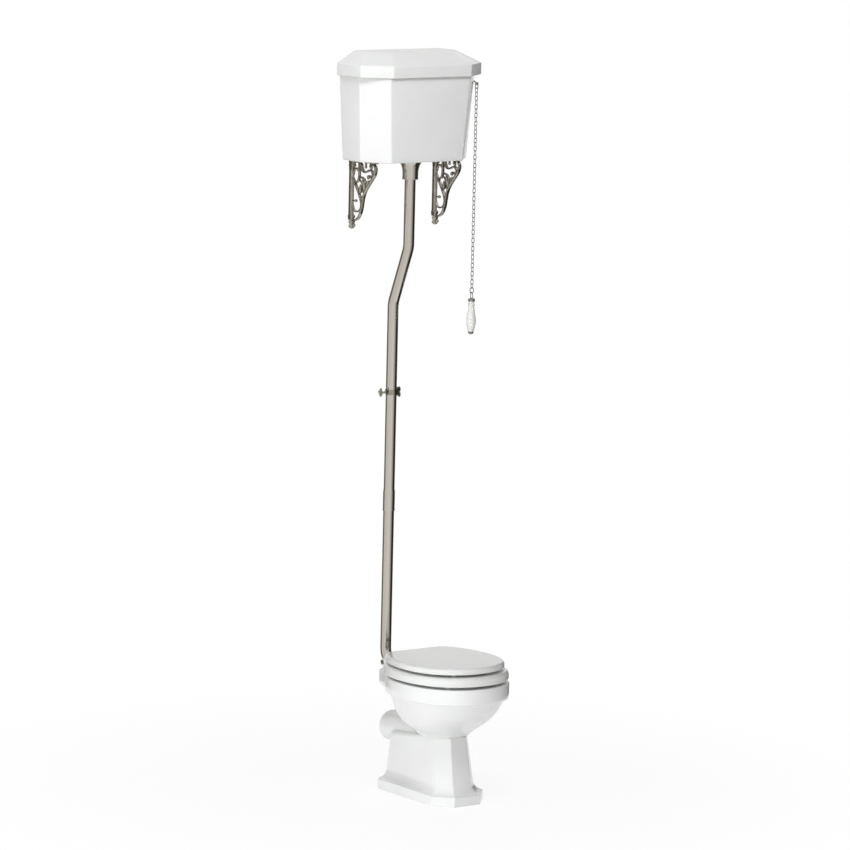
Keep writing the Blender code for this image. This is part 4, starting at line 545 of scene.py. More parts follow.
def makePedestal():
    # Plinth, cove and tapering stem with cut corners. The top edge is rounded by a radius that
    # shrinks towards the front, where the stem runs up into the bowl's wall
    f = foot
    base = np.array((f["half"], f["front"], f["back"]))
    stemFoot, taper = np.array(f["stem"]), np.array(f["taper"])
    inset, rise = quarter(4)
    rows = [inPlane(footOutline(*base, 1, 1.5 * i), 1.5 * r, "plan") for i, r in zip(inset, rise)]
    rows += [inPlane(footOutline(*base, 1, 3 * i), f["height"] - 3 * r, "plan")
             for i, r in zip(inset[::-1], rise[::-1])]
    # Cove between plinth and stem: share of the way out, and height
    cove = np.array([(0.93, 35.2), (0.80, 36.4), (0.60, 38.6), (0.40, 42.0), (0.22, 47.5), (0.09, 54.0), (0.02, 61.0),
                     (0.0, f["stemLow"])])
    for share, z in spline(cove, 18):
        share = max(share, 0)
        t = (z - f["low"]) / f["run"]
        size = stemFoot + taper * t + share * (base - stemFoot)
        rows.append(inPlane(footOutline(*size, size[0] / f["half"]), z, "plan"))
    # Stem: each point goes straight from its place at the foot of the taper to its place at the top
    ends = [stemFoot + taper * t for t in ((f["stemLow"] - f["low"]) / f["run"], 1)]
    low, high = (footOutline(*size, size[0] / f["half"]) for size in ends)
    forward = smoothStep(np.clip((high[:, 1] - f["turn"][0]) / (f["turn"][1] - f["turn"][0]), 0, 1))
    top = f["ledge"] + (f["brow"] - f["ledge"]) * forward
    radius = f["round"] * (1 - forward) + 3 * forward

    def stem(z, inset=0.0):
        # Each point at a height of its own: low + (high - low) x share of the way up
        outline = low + (high - low) * ((z - f["stemLow"]) / (f["low"] + f["run"] - f["stemLow"]))[:, None]
        return inPlane(inward(outline, np.broadcast_to(inset, len(z))[:, None]), z, "plan")
    rows += [stem(f["stemLow"] + (top - radius - f["stemLow"]) * w) for w in np.linspace(0, 1, 11)[1:]]
    inset, rise = quarter(9)
    rows += [stem(top - radius * r, radius * i) for i, r in zip(inset[::-1], rise[::-1])]
    rows.append(stem(top - 4, radius + 1.5))
    rows += [stem((top - 10) * share, 14.0) for share in (0.94, 0.6, 0.2, 0.0)]
    return gridShell(np.stack(rows), wrapRows=True)


def trapOuter(depth):
    # Outside radius of the waterway along its level run: even at the spigot, then a long taper
    return 46 + 6 * smoothStep(np.clip((215 - depth) / 120, 0, 1))


def makeSaddle():
    # Top of the pedestal behind the bowl: the stem's rounded ledge and the waterway's round top,
    # joined by a soft maximum, z = k log(exp(ledge / k) + exp(pipe / k))
    f = foot
    r, k, rearEdge = f["round"], 8.0, 151.6
    depth = np.concatenate([rearEdge + 14 * quarter(12)[1], np.linspace(168, 402, 79)])[:, None]
    across = np.sin(np.linspace(-math.pi / 2, math.pi / 2, 61))[None]
    half = np.minimum(67.3, 57.6 + depth - rearEdge)
    x = half * across
    side = np.clip((np.abs(x) - half + r) / r, 0, 1)
    rear = np.clip((rearEdge + r - depth) / r, 0, 1)
    ledge = f["ledge"] + 0.35 - r * (1 - np.sqrt(np.clip(1 - side ** 2, 0, 1))) - r * (1 - np.sqrt(1 - rear ** 2))
    pipeTop = trapOuter(depth) - 1.5
    gap = pipeTop ** 2 - x ** 2
    crown = 200 + np.sign(gap) * np.sqrt(np.abs(gap)) * np.where(gap > 0, 1, 1.5)
    top = k * np.logaddexp(ledge / k, crown / k)
    # Under the bowl it stays within the bowl's own wall: the bowl's height over each point is the
    # lowest row whose oval |x/a|^p + |y/b|^p = 1 reaches it
    rows = bowlRows(spline(bowlShares, 60))
    share = (np.abs(x[..., None] / rows[:, 0]) ** pan["power"]
             + (np.clip(pan["centre"] - depth[..., None], 0, None) / (pan["centre"] - rows[:, 2])) ** pan["power"])
    bowl = np.where(share.min(-1) > 1, 999.0, rows[np.argmax(share <= 1, axis=-1), 3])
    top = np.minimum(top, bowl + 5)
    # Round the throat it drops away, by a smooth step of the distance from an oval
    top = top - 60 * smoothStep(np.clip((1.1 - np.hypot(x / 47, (depth - 350) / 55)) / 0.1, 0, 1))
    low = np.minimum(ledge - 3, 184) + 0 * x
    upper = np.stack([x, depth + 0 * x, top], -1)
    under = np.stack([x * 0.97, depth + 0 * x, np.minimum(low, top - 1)], -1)
    return gridShell(np.concatenate([upper, under[:, ::-1]], 1))


def makeShelf():
    # Rear shelf: a slab with rounded back corners that runs forward into the rim on both sides
    back, half, corner = 130.0, 108.5, 16.0
    flare = (pan["half"] - half) / (pan["centre"] - back)
    reach = 262.0
    far = half + flare * (reach - back) + 1.5
    turn = np.radians(np.linspace(0, 90, 9))
    bend = np.stack([corner - half - corner * np.cos(turn), back + corner - corner * np.sin(turn)], -1)
    left = np.vstack([np.linspace((-far, reach), bend[0], 14, endpoint=False), bend])
    inner = ovalRows([(158, 585, 206, 0)], count=96)[0][:, :2]
    rear = inner[inner[:, 1] < reach]
    rear = rear[np.argsort(rear[:, 0])][::-1]
    outline = np.vstack([left, left[::-1] * (-1, 1), rear])
    fixed = np.zeros(len(outline), bool)
    fixed[len(left) * 2:] = True
    rows = [inPlane(np.where(fixed[:, None], outline, inward(outline, i)), z, "plan")
            for i, z in edgeRows(368.5, 418.5, 3.5, 6, 6)]
    return gridShell(np.stack(rows), caps="flat")


water = {"bore": 38.0, "throat": 352.0, "bend": 49.0, "bendHeight": 120.0, "rise": 48.0, "level": 200.0,
         "spigotEnd": 64.0}


def makeTrap():
    # Pipe along a path: down, half a turn, up, a quarter turn and level to the spigot, whose end
    # is rounded by 1 - sqrt(1 - s^2)
    w = water
    up = w["throat"] - 2 * w["bend"]
    out = up - w["rise"]
    path = np.vstack([straight((w["throat"], 198), (w["throat"], w["bendHeight"]), 10),
                      arc((w["throat"] - w["bend"], w["bendHeight"]), w["bend"], 0, -180, 40),
                      straight((up, w["bendHeight"] + 4), (up, w["level"] - w["rise"] - 2), 6),
                      arc((out, w["level"] - w["rise"]), w["rise"], 0, 90, 24),
                      np.linspace((out - 3, w["level"]), (w["spigotEnd"], w["level"]), 60)])
    depth = path[:, 0]
    level = path[:, 1] > w["level"] - 2
    outer = np.where(level, trapOuter(depth), 46.0)
    end = np.clip((w["spigotEnd"] + 5 - depth) / 5, 0, 1)
    nose = 1 - np.sqrt(np.clip(1 - end ** 2, 0, 1))
    outer = outer - 3.0 * nose
    inner = w["bore"] + 2.0 * nose
    # Shallow grips round the spigot for the connector's seal
    grip = 0.5 * np.cos((depth - 72) / 6 * full) * ((depth > 72) & (depth < 102) & level)
    return pipeWall(path, "side", 0.0, outer + grip, inner, 56)


def makeHorn():
    # Turned spout that takes the flush pipe's cone: both lips are quarter ovals
    t, rise = quarter(6)
    outer = np.stack([31 - 4 * t, 92 + 4 * rise], -1)
    profile = np.vstack([outer, [(31, 108), (31.6, 124), (34, 138), (38, 150), (24.5, 150), (24.5, 96)],
                         np.stack([24.5 + 2.4 * t[::-1], 95 - 2.6 * rise[::-1]], -1)])
    return lathe(profile, (0, 0, pan["horn"]), "depth", 56, closed=True)


makePiece("panBowl", [makeBowl()], "glaze", "fixture", ["pan"], 50)
makePiece("panPedestal", [makePedestal(), makeSaddle()], "glaze", "fixture", sharp=44)
makePiece("panShelf", [makeShelf()], "glaze", "fixture", sharp=50)
makePiece("panWaterway", [makeTrap(), makeHorn()], "glaze", "fixture", sharp=50)
print("pan made")


# ---- seat and lid

seat = {"half": 196, "front": 610, "tail": 148, "rear": 188, "low": 428.5, "high": 459.5, "holeHalf": 116,
        "holeFront": 532, "holeBack": 262, "points": 160}
lid = {"half": 185, "front": 588, "tail": 148, "rear": 190, "low": 467.5, "high": 488.5}
hinge = {"depth": 155.0, "z": 444.0, "bar": 7.0, "barHalf": 105.2, "lug": 12.0, "ringLug": 98.0, "lidLug": 84.0,
         "post": 70.0}


def seatOutline(s, inset=0.0):
    # Oval cut straight across at the rear, its corners eased by a soft maximum
    oval = ovalRows([(s["half"] - inset, s["front"] - inset, s["tail"] + inset, 0)], count=seat["points"])[0][:, :2]
    soft = 5.0
    rear = s["rear"] + inset
    depth = rear + soft * np.logaddexp(0, (oval[:, 1] - rear) / soft) - soft * math.log(2) * np.exp(
        -np.abs(oval[:, 1] - rear) / soft)
    return np.stack([oval[:, 0], np.maximum(depth, rear)], -1)


def makeRing():
    # The ring's section at each angle: a bullnose outside, a gentle crown on top, a bullnose inside
    hole = ovalRows([(seat["holeHalf"], seat["holeFront"], seat["holeBack"], 0)], count=seat["points"])[0][:, :2]
    low, high = seat["low"], seat["high"]
    inset, rise = quarter(9)
    outer = [(5 * i, low + 5 * r) for i, r in zip(inset, rise)]
    outer += [(15 * r, high - 15 * i) for i, r in zip(inset, rise)]
    inner = [(14 * i, high - 14 * r) for i, r in zip(inset, rise)]
    inner += [(6 * r, low + 6 * i) for i, r in zip(inset, rise)]
    top = seatOutline(seat, 15.0)
    rows = [inPlane(seatOutline(seat, i), z, "plan") for i, z in outer]
    rows += [inPlane(top * (1 - s) + inward(hole, -14) * s, high + 0.4 * math.sin(math.pi * s), "plan")
             for s in (0.25, 0.5, 0.75)]
    rows += [inPlane(inward(hole, -i), z, "plan") for i, z in inner]
    return gridShell(np.stack(rows), wrapRows=True)


def lug(x, width, outline, edge=1.6):
    # Plate across x whose outline in depth and height has eased corners
    return plate(rounded(outline, 4, 5), x - width / 2, x + width / 2, edge, plane="side", steps=4)


def makeLidBody():
    # Slab of the lid's outline, its rows drawn in by the rounding of the edges
    rows = [inPlane(seatOutline(lid, i), z, "plan") for i, z in edgeRows(lid["low"], lid["high"], 3, 11, 8)]
    return gridShell(np.stack(rows), caps="flat")


def hingeEye(x, width, radius, edge=1.2, steps=4, bore=hinge["bar"] + 0.6):
    # Round eye on the hinge's rod, with play round it
    low, high = x - width / 2, x + width / 2
    return eyeShell((0, hinge["depth"], hinge["z"]), "x", radius, low, high, edge, [(bore, high), (bore, low)], steps)


def makeLugs():
    # Round eyes on the rod, each run into the ring or the lid by plates
    ringShells, lidShells = [], []
    for side in (-1, 1):
        x = side * hinge["ringLug"]
        ringShells += [hingeEye(x, 13, hinge["lug"] + 1),
                       lug(x, 12.6, [(145, 441), (147, 431.5), (156, 429), (190, 429), (190, 436), (163, 436)], 2.4),
                       lug(x, 12.4, [(163.2, 453), (163.2, 435.5), (205, 434), (205, 455)])]
        x = side * hinge["lidLug"]
        lidShells += [hingeEye(x, 11, hinge["lug"]),
                      lug(x, 10.4, [(146, 452.6), (151, 465), (163, 480), (205, 484), (205, 471), (186, 470),
                                    (175, 462), (166.5, 449), (157, 452.5)])]
    return ringShells, lidShells


ringLugs, lidLugs = makeLugs()
makePiece("seatRing", [makeRing()] + ringLugs, "lacquer", "seat", ["seat_ring"], 44)
makePiece("seatLid", [makeLidBody()] + lidLugs, "lacquer", "lid", ["seat_lid"], 44)


def makeBuffers():
    # Studs in the place of their CAD buffers, domed below: radius x (1 - 0.28 (1 - sqrt(t (2 - t))))
    for name in [n for body in ("seat", "lid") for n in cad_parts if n.startswith(body + "_buffer")]:
        low, high, middle = cadSpan(name)
        radius = (high[0] - low[0]) / 2
        t = np.linspace(0, 1, 7)
        dome = np.stack([radius * (1 - 0.28 * (1 - np.sqrt(t * (2 - t)))), low[2] + (high[2] - low[2]) * 0.35 * t], -1)
        profile = np.vstack([[(0, low[2])], dome, [(radius, high[2] - 0.3), (radius - 0.3, high[2]), (0, high[2])]])
        makePiece("soft_" + name, [lathe(profile, (*middle[:2], 0), "z", 28)], "buffer", name.split("_")[0], [name])


makeBuffers()


def makeHinge():
    # Turned profiles round the rod and round each post; the bolt's thread has the radius
    # 4 - 0.16 (1 + cos(turn))
    h = hinge
    t = np.linspace(0, math.pi / 2, 7)
    end = h["barHalf"]
    cap = np.stack([7.6 + 0.8 * np.cos(t), end + 1.6 + 0.8 * np.sin(t)], -1)
    right = np.vstack([[(h["bar"], end - 0.6), (8.0, end - 0.4), (8.4, end + 0.2)], cap,
                       [(4, end + 2.7), (0, end + 2.8)]])
    rod = lathe(np.vstack([right[::-1] * (1, -1), right]), (0, h["depth"], h["z"]), "x", 40)
    # The rod takes the darker chain nickel: painted shade and dark reflection on its end.
    makePiece("hingeRod", [rod], "chainNickel", "fixture", ["hinge_bar"])
    base, top, turns = 418.8, 368.2, 26
    post = np.vstack([[(0, base)], [(16.6, base), (17, base + 0.5)], arc((15.4, base + 2.2), 1.6, 0, 80, 5),
                      spline([(13.6, base + 4.4), (10.2, base + 6.5), (8.3, base + 10), (8, base + 15)], 10),
                      [(8, 437.5), (0, 437.5)]])
    z = np.linspace(base + 1, 341.6, turns * 4)
    thread = np.stack([4 - 0.16 * (1 + np.cos(np.arange(len(z)) * full / 4)), z], -1)
    bolt = np.vstack([[(0, base + 1)], thread, [(3, 341), (0, 341)]])
    hub = np.vstack([[(4.5, top), (11.2, top), (11.7, top - 0.5), (11.7, top - 1.4), (9.4, top - 2.6)],
                     [(8.4, top - 8.4), (8, top - 9), (4.5, top - 9)]])
    for x, label in ((-h["post"], "left"), (h["post"], "right")):
        place = (x, h["depth"], 0)
        makePiece("hingePost_" + label, [hingeEye(x, 12, 11.7, 1.5, 5, 7.4), lathe(post, place, "z", 40),
                                         lathe(bolt, place, "z", 20)], "nickel", "fixture", ["hinge_post_" + label])
        wing = rounded([(x - 21, top - 13.5), (x - 19, top - 3.6), (x + 19, top - 3.6), (x + 21, top - 13.5),
                        (x + 10, top - 9), (x - 10, top - 9)], 3.4, 6)
        wingPlate = plate(wing, h["depth"] - 1.5, h["depth"] + 1.5, 0.8, plane="front", steps=4)
        makePiece("wingNut_" + label, [lathe(hub, place, "z", 36, closed=True), wingPlate], "plastic", "fixture",
                  ["wing_nut_" + label])


makeHinge()
print("seat, lid and hinge made")


# ---- cistern

tank = {"top": 2455.7, "bottom": 2167.0, "topHalf": 238.0, "bottomHalf": 219.5, "topFront": 217.0, "bottomFront": 205.0,
        "back": 12.0, "cut": (73.0, 81.0), "wall": 12.0, "floor": 14.0, "corner": 9.0,
        "slot": ((214, 102, 2420), (246, 112, 2462))}
cover = {"low": 2456.0, "band": 2498.0, "top": 2538.0, "half": 250.0, "front": 228.0, "cut": (90.0, 68.0),
         "crown": (70.0, 77.0), "corner": 7.0, "lip": 8.0}


def cutPlan(half, front, back, cx, cy, b, edge, inset=0.0, steps=6):
    # Plan with two cut corners at the front, softened all round
    corners = cutCorners(half, front, back, cx, cy, b)
    return inward(rounded(corners, [3, edge, edge, edge, edge, 3, 3, 3], steps), inset)


def tankRow(z, inset=0.0):
    # Half width and front grow in a straight line from the bottom to the top
    s = (z - tank["bottom"]) / (tank["top"] - tank["bottom"])
    half = tank["bottomHalf"] + s * (tank["topHalf"] - tank["bottomHalf"])
    front = tank["bottomFront"] + s * (tank["topFront"] - tank["bottomFront"])
    return inPlane(cutPlan(half, front, tank["back"], *tank["cut"], 6, tank["corner"], inset), z, "plan")


def makeTank():
    # Rows (height, inset): a quarter round at the foot, the outside, the half round rim
    # inset = wall / 2 x (1 - cos t), the inside and the round into the floor
    low, high, wall = tank["bottom"], tank["top"], tank["wall"]
    t = np.linspace(0, math.pi, 9)
    rows = [(low + 5 * r, 5 * i) for i, r in zip(*quarter(7))]
    rows += [(z, 0) for z in np.linspace(low + 20, high - 12, 10)]
    rows += [(high - 2.5 + 2.5 * math.sin(a), wall / 2 * (1 - math.cos(a))) for a in t]
    rows += [(z, wall) for z in np.linspace(high - 20, low + 30, 6)]
    rows += [(low + tank["floor"] + 10 - 10 * math.sin(a), wall + 10 * (1 - math.cos(a))) for a in t[:5]]
    return gridShell(np.stack([tankRow(*row) for row in rows]), caps="flat")


cistern = makePiece("cisternTank", [makeTank()], "glaze", "fixture", ["cistern_tank"], 44)
carve(cistern, [boxShell(*tank["slot"])])


def coverRow(z, inset=0.0, drawX=0.0, drawY=0.0):
    # The cover's plan, drawn in by two lengths, its cuts by a share of them
    return inPlane(cutPlan(cover["half"] - drawX, cover["front"] - drawY, tank["back"], cover["cut"][0] - drawX * 0.35,
                           cover["cut"][1] - drawY * 0.25, 6, cover["corner"], inset), z, "plan")


def makeCover():
    # One skin: down the inside to the locating lip, then up the outside. The slope draws the plan in
    # by an even share of the crown's measures
    c = cover
    cx, cy = c["crown"]
    lip = c["low"] - c["lip"]
    rows = []
    for share in np.linspace(0, 1, 6):
        z = c["top"] - 11 + (c["band"] - 4 - c["top"] + 11) * share
        rows.append(coverRow(z, 11.0, cx, cy) * (1 - share) + tankRow(z, 19.5) * share)
    rows += [tankRow(*row) for row in ((lip + 1, 19.5), (lip, 18.5), (lip, 14.5), (lip + 1, 13.5), (c["low"], 13.5))]
    rows += [coverRow(c["low"] + 3 * r, 3 * i) for i, r in zip(*quarter(6))]
    rows += [coverRow(c["low"] + rise) for rise in (14, 28)]
    # Band, softened into the slope of the crown, then the slope and the flat top
    bend = spline([(0, c["band"] - 5), (0.4, c["band"] - 2.2), (1.8, c["band"] - 0.2), (5.2, c["band"] + 2.2)], 10)
    rows += [coverRow(z, 0.0, i, i * cy / cx) for i, z in bend]
    rows += [coverRow(c["band"] - 1 + s * (c["top"] - c["band"] + 1), 0.0, cx * s, cy * s)
             for s in np.linspace(0.12, 0.95, 8)]
    rows += [coverRow(c["top"] + z, 0.0, cx * s, cy * s)
             for s, z in ((0.985, -1.2), (1.0, -0.5), (1.03, -0.1), (1.08, 0))]
    return gridShell(np.stack(rows), caps="flat")


makePiece("cisternCover", [makeCover()], "glaze", "cover", ["cistern_cover"], 30)
print("cistern made")


# ---- flush pipe and its fittings

pipe = {"radius": 19.0, "wall": 1.4, "upper": 107.0, "lower": 21.5, "top": 2139.0, "bendTop": 1867.0,
        "bendLow": 1667.0, "bend": 80.0, "jointTop": 1014.0, "jointLow": 945.0, "socket": 21.2, "elbow": 65.0,
        "elbowEnd": 117.0}


def makeUpperPipe():
    # Straight, arc, straight, arc, straight; the radius swells by a smooth step into the socket
    p = pipe
    slope = math.degrees(math.atan2(p["upper"] - p["lower"], p["bendTop"] - p["bendLow"]))
    trim = p["bend"] * math.tan(math.radians(slope) / 2)
    high = arc((p["upper"] - p["bend"], p["bendTop"] + trim), p["bend"], 0, -slope, 16)
    low = arc((p["lower"] + p["bend"], p["bendLow"] - trim), p["bend"], 180 - slope, 180, 16)
    drop = straight(low[-1] - (0, 4), (p["lower"], p["jointTop"] + 16), 24)
    swell = np.linspace((p["lower"], p["jointTop"] + 14), (p["lower"], p["jointLow"]), 56)
    path = np.vstack([straight((p["upper"], p["top"]), high[0] + (0, 4), 12), high,
                      straight(high[-1], low[0], 10)[1:], low, drop, swell])
    z = path[:, 1]
    swollen = smoothStep(np.clip((p["jointTop"] + 8 - z) / 12, 0, 1))
    outer = p["radius"] + (p["socket"] - 0.5 - p["radius"]) * swollen
    # A rolled bead at the socket's mouth
    outer = outer + 0.5 * np.exp(-((z - p["jointLow"] - 2.6) / 2.0) ** 2)
    inner = p["radius"] - p["wall"] + (p["socket"] - p["radius"]) * swollen
    return pipeWall(path, "side", 0.0, outer, inner, 56)


def makeLowerPipe():
    # Straight down, a quarter turn and level into the cone
    p = pipe
    turn = pan["horn"] + p["elbow"]
    path = np.vstack([straight((p["lower"], p["jointTop"] - 2), (p["lower"], turn + 3), 30),
                      arc((p["lower"] + p["elbow"], turn), p["elbow"], 180, 270, 28),
                      np.linspace((p["lower"] + p["elbow"] + 3, pan["horn"]), (p["elbowEnd"], pan["horn"]), 8)])
    return pipeWall(path, "side", 0.0, p["radius"], p["radius"] - p["wall"], 56)


makePiece("flushPipeUpper", [makeUpperPipe()], "nickel", "fixture", ["flush_pipe_upper"], 50)
makePiece("flushPipeLower", [makeLowerPipe()], "nickel", "fixture", ["flush_pipe_lower"], 50)

shroud = {"top": 2166.7, "low": 2101.0, "waist": 27.2, "flare": 14.6, "flareHeight": 44.0, "lip": 0.9, "wall": 1.6}


def makeShroud():
    # Bell: the radius falls from the rim to the waist with the height's 2.2nd power, then stays
    # even down to a small rolled lip
    b = shroud
    fall = np.linspace(0, 1, 26)
    flare = np.stack([b["waist"] + b["flare"] * (1 - fall) ** 2.2, b["top"] - 1.4 - fall * b["flareHeight"]], -1)
    widest = b["waist"] + b["flare"]
    edge = np.array([(widest - 0.9, b["top"]), (widest - 0.2, b["top"] - 0.3), (widest, b["top"] - 0.9)])
    t = np.linspace(0, math.pi, 7)
    lip = np.stack([b["waist"] + b["lip"] * np.sin(t), b["low"] + 1.4 * (1 + np.cos(t))], -1)
    bore = np.stack([np.maximum(flare[::-1, 0] - b["wall"], 25.6), flare[::-1, 1]], -1)
    profile = np.vstack([edge, flare, lip, [(25.6, b["low"])], bore])
    return lathe(profile, (0, pipe["upper"], 0), "z", 64, closed=True)


makePiece("pipeBell", [makeShroud()], "nickel", "fixture", ["pipe_shroud"], 40)


def nutShell(centre, low, high, radius, bore):
    # Hexagon, its corners every 60 degrees, round a bore: the rows of both are joined at both faces
    outer = rounded(around(centre, radius, np.arange(6) * full / 6), 1.0, 3)
    angle = np.arctan2(outer[:, 1] - centre[1], outer[:, 0] - centre[0])
    hole, crest = around(centre, bore, angle), around(centre, radius * 0.84, angle)
    rows = ((crest, low), (outer, low + 1.2), (outer, high - 1.2), (crest, high), (hole, high), (hole, low))
    return gridShell(np.stack([inPlane(row, z, "plan") for row, z in rows]), wrapRows=True)


def makeUnion():
    # Ribbed ring nut, radius x (1 + 0.012 cos(40 t)), and the siphon's hexagon nut
    ribs = 40
    low, high = 2129.0, 2149.0
    profile = np.array([(24.2, high - 1), (23.6, high), (21.6, high), (21.6, 2139.5), (19.5, 2139.5), (19.5, low),
                        (23.6, low), (24.2, low + 1)])
    makePiece("couplingNut", [lathe(profile, (0, pipe["upper"], 0), "z", ribs * 4, True, ribs, 0.012)], "brass",
              "fixture", ["coupling_nut"])
    makePiece("siphonBackNut", [nutShell((0, pipe["upper"]), 2157.4, 2166.4, 30, 21.4)], "brass", "fixture",
              ["siphon_back_nut"])


makeUnion()


def makeCone():
    # Turned profile of radius and depth, with a lip over the horn's end
    profile = np.array([(19.5, 113), (23.2, 113), (24.2, 91.8), (28.2, 91.7), (29, 90.8), (29, 88.2), (27.6, 86.9),
                        (22.5, 86.7), (20.6, 84.6), (19.5, 86.2)])
    return lathe(profile, (0, 0, pan["horn"]), "depth", 56, closed=True)


makePiece("flushCone", [makeCone()], "rubber", "fixture", ["flush_cone"])

clip = {"z": 1359.0, "length": 18.0, "inner": 19.5, "outer": 21.2}


def petalRose(x, direction, radius, thick, turn=0.0):
    # Rose facing along x: the rim's radius swings with cos(4 t), each petal is domed with a
    # shallow groove down its middle, and a boss stands in the centre
    petals, steps = 4, 96
    t = np.arange(steps) * full / steps
    edge = radius * (0.56 + 0.44 * (0.5 + 0.5 * np.cos(petals * (t - turn))) ** 0.55)
    rho = np.array([1.0, 0.985, 0.93, 0.8, 0.65, 0.5, 0.38, 0.30, 0.27, 0.25, 0.2, 0.12, 0.0])[:, None]
    rise = np.array([0.32, 0.5, 0.68, 0.92, 1.0, 0.9, 0.7, 0.62, 1.25, 1.75, 2.1, 2.3, 2.36])[:, None]
    groove = 0.24 * np.exp(-((t[None] - turn + full / 8) % (full / petals) - full / petals / 2) ** 2 / 0.012)
    height = (rise - groove * np.clip(rho - 0.34, 0, 1) * 1.6) * thick
    r = rho * np.where(rho <= 0.30, radius, edge[None])
    front = np.stack([x + direction * height, pipe["lower"] + r * np.cos(t), clip["z"] + r * np.sin(t)], -1)
    rim = edge * 0.94
    back = np.stack([np.full(steps, x), pipe["lower"] + rim * np.cos(t), clip["z"] + rim * np.sin(t)], -1)
    return gridShell(np.concatenate([back[None], front]))


def makeClip():
    # Collar turned round the pipe with two beads, outer + 0.8 sin t, cut flat at the wall
    c = clip
    middle = (0, pipe["lower"], c["z"])
    t = np.linspace(0, math.pi, 7)
    bead = np.stack([c["outer"] + 0.8 * np.sin(t), 1 - np.cos(t)], -1)
    half = c["length"] / 2
    profile = np.vstack([[(c["inner"], half), (c["outer"], half)], bead * (1, -1.2) + (0, half - 1.2),
                         [(c["outer"], 3), (c["outer"], -3)], bead * (1, -1.2) + (0, -half + 3.6),
                         [(c["outer"], -half), (c["inner"], -half)]])
    profile[:, 0] = np.minimum(profile[:, 0], 21.6)
    ear = np.array([(0, 19.9), (6.2, 19.9), (6.2, 22.6), (5.2, 24.0), (3.6, 24.6), (0, 24.6)])
    shells = [lathe(profile, middle, "z", 64, closed=True)] + [lathe(ear * (1, s), middle, "x", 32) for s in (-1, 1)]
    made = makePiece("clipCollar", shells, "castNickel", "fixture", ["pipe_clip"], 40)
    carve(made, [boxShell((-26, -30, c["z"] - 12), (26, 0.3, c["z"] + 12))])
    stem = [(0, -24.9), (4.6, -24.9), (5.2, -25.8), (4.6, -27.4), (3.0, -28.6), (2.7, -34), (3.0, -38), (4.8, -40.2),
            (6.2, -42.0), (0, -42.0)]
    makePiece("clipKnob", [petalRose(-42.0, -1, 15.5, 5.0), lathe(stem, middle, "x", 28)], "castNickel", "fixture",
              ["clip_knob"], 40)
    makePiece("clipRose", [petalRose(25.0, 1, 23.0, 4.6, full / 8)], "castNickel", "fixture", ["clip_rose"], 40)


makeClip()
print("flush pipe made")


# ---- brackets: scrolls in the plane of depth and height, drawn from the tank's underside

bracket = {"x": 173.5, "top": 2166.7, "thick": 13.0, "rod": 6.4}

# Each scroll: way points (depth, fall below the tank), bar's width across the plane as a share,
# and the bar's depth at both ends and in the middle as shares
scrolls = {
    "outer": ([(124, -19), (121, -12), (128, -6.6), (141, -7.6), (150.5, -17), (151, -31), (142, -48), (120, -71),
               (98, -95), (83, -121), (76, -148), (70, -170), (58, -191), (40, -204), (13, -211)],
              1.0, (0.7, 1.0, 1.0)),
    "inner": ([(11, -55), (26, -74), (46, -101), (63, -127), (70.5, -148), (67, -164), (56, -173), (40, -175.5),
               (26, -171), (17, -160), (14, -148)], 0.86, (0.9, 0.95, 0.55)),
    "wave": ([(38, -4.6), (56, -8), (66, -13), (70, -24), (76, -33), (88, -37), (101, -35), (114, -29), (126, -28.5),
              (134, -36), (138, -48)], 0.92, (0.8, 1.0, 0.8)),
    "spur": ([(54, -3), (54, -28), (54, -54), (50, -68), (40, -76), (30, -77.5)], 0.8, (1.0, 1.0, 0.7)),
    "leafTop": ([(52, -60), (66, -56), (80, -60), (89, -70), (92, -84), (90, -103)], 0.74, (0.6, 1.25, 0.9)),
    "leafMid": ([(57, -66), (69, -72), (78, -82), (82, -94), (80, -108)], 0.7, (0.5, 1.2, 0.7)),
    "leafLow": ([(58, -104), (66, -94), (76, -92), (84, -98)], 0.62, (0.5, 1.0, 0.6)),
    "curl": ([(132, -57), (122, -49), (112, -47.5), (106, -53), (110, -59)], 0.74, (1.0, 0.9, 0.5)),
    "stub": ([(12, -140), (24, -139.6), (35, -139)], 0.62, (0.9, 0.7, 0.6)),
    "drop": ([(92, -3), (92, -18)], 0.62, (0.8, 0.7, 0.6)),
    "hook": ([(20, -44), (27, -34), (37, -28), (47, -31)], 0.66, (0.6, 1.0, 0.7)),
}
scrollBalls = ((124, -20, 5.6), (109, -52.5, 5.2), (36, -139, 5.8), (92, -20, 4.8), (47, -33, 5.4), (138, -46, 4.6),
               (30, -77, 4.4))


def scrollBar(points, width, deep, x):
    # Nearly square bar along a spline through the way points; its size across the path runs in
    # straight lines between the shares
    path = spline(points, max(10 * len(points), 16))
    start, middle, end = deep
    swell = np.interp(np.linspace(0, 1, len(path)), (0, 0.12, 0.5, 0.88, 1),
                      (start * 0.8, (start + middle) / 2, middle, (middle + end) / 2, end * 0.8))
    section = ringSection(bracket["rod"] / 2, bracket["thick"] / 2 * width, 20, 5.5)
    return along(path + (0, bracket["top"]), "side", x, section, swell)


def leafShell(x, depth, z, length, width, lean, side):
    # Pointed leaf with a raised midrib and drooping edges, standing off one face of the bracket
    u, v = np.meshgrid(np.linspace(0, 1, 15), np.linspace(-1, 1, 13), indexing="ij")
    half = width * np.sin(math.pi * u ** 0.8) ** 0.8 * (1 + 0.16 * np.cos(u * 5 * math.pi))
    a, b = math.cos(lean), math.sin(lean)
    s, w = length * u, half * v
    lift = side * 2.6 * (1 - np.abs(v)) ** 0.7 * np.sin(math.pi * np.clip(u, 0.02, 0.98))
    top = np.stack([x + side * bracket["thick"] * 0.36 + lift, depth + s * a - w * b, z + s * b + w * a], -1)
    low = top.copy()
    low[..., 0] = x + side * bracket["thick"] * 0.2
    return gridShell(np.concatenate([top, low[:, ::-1]], 1))


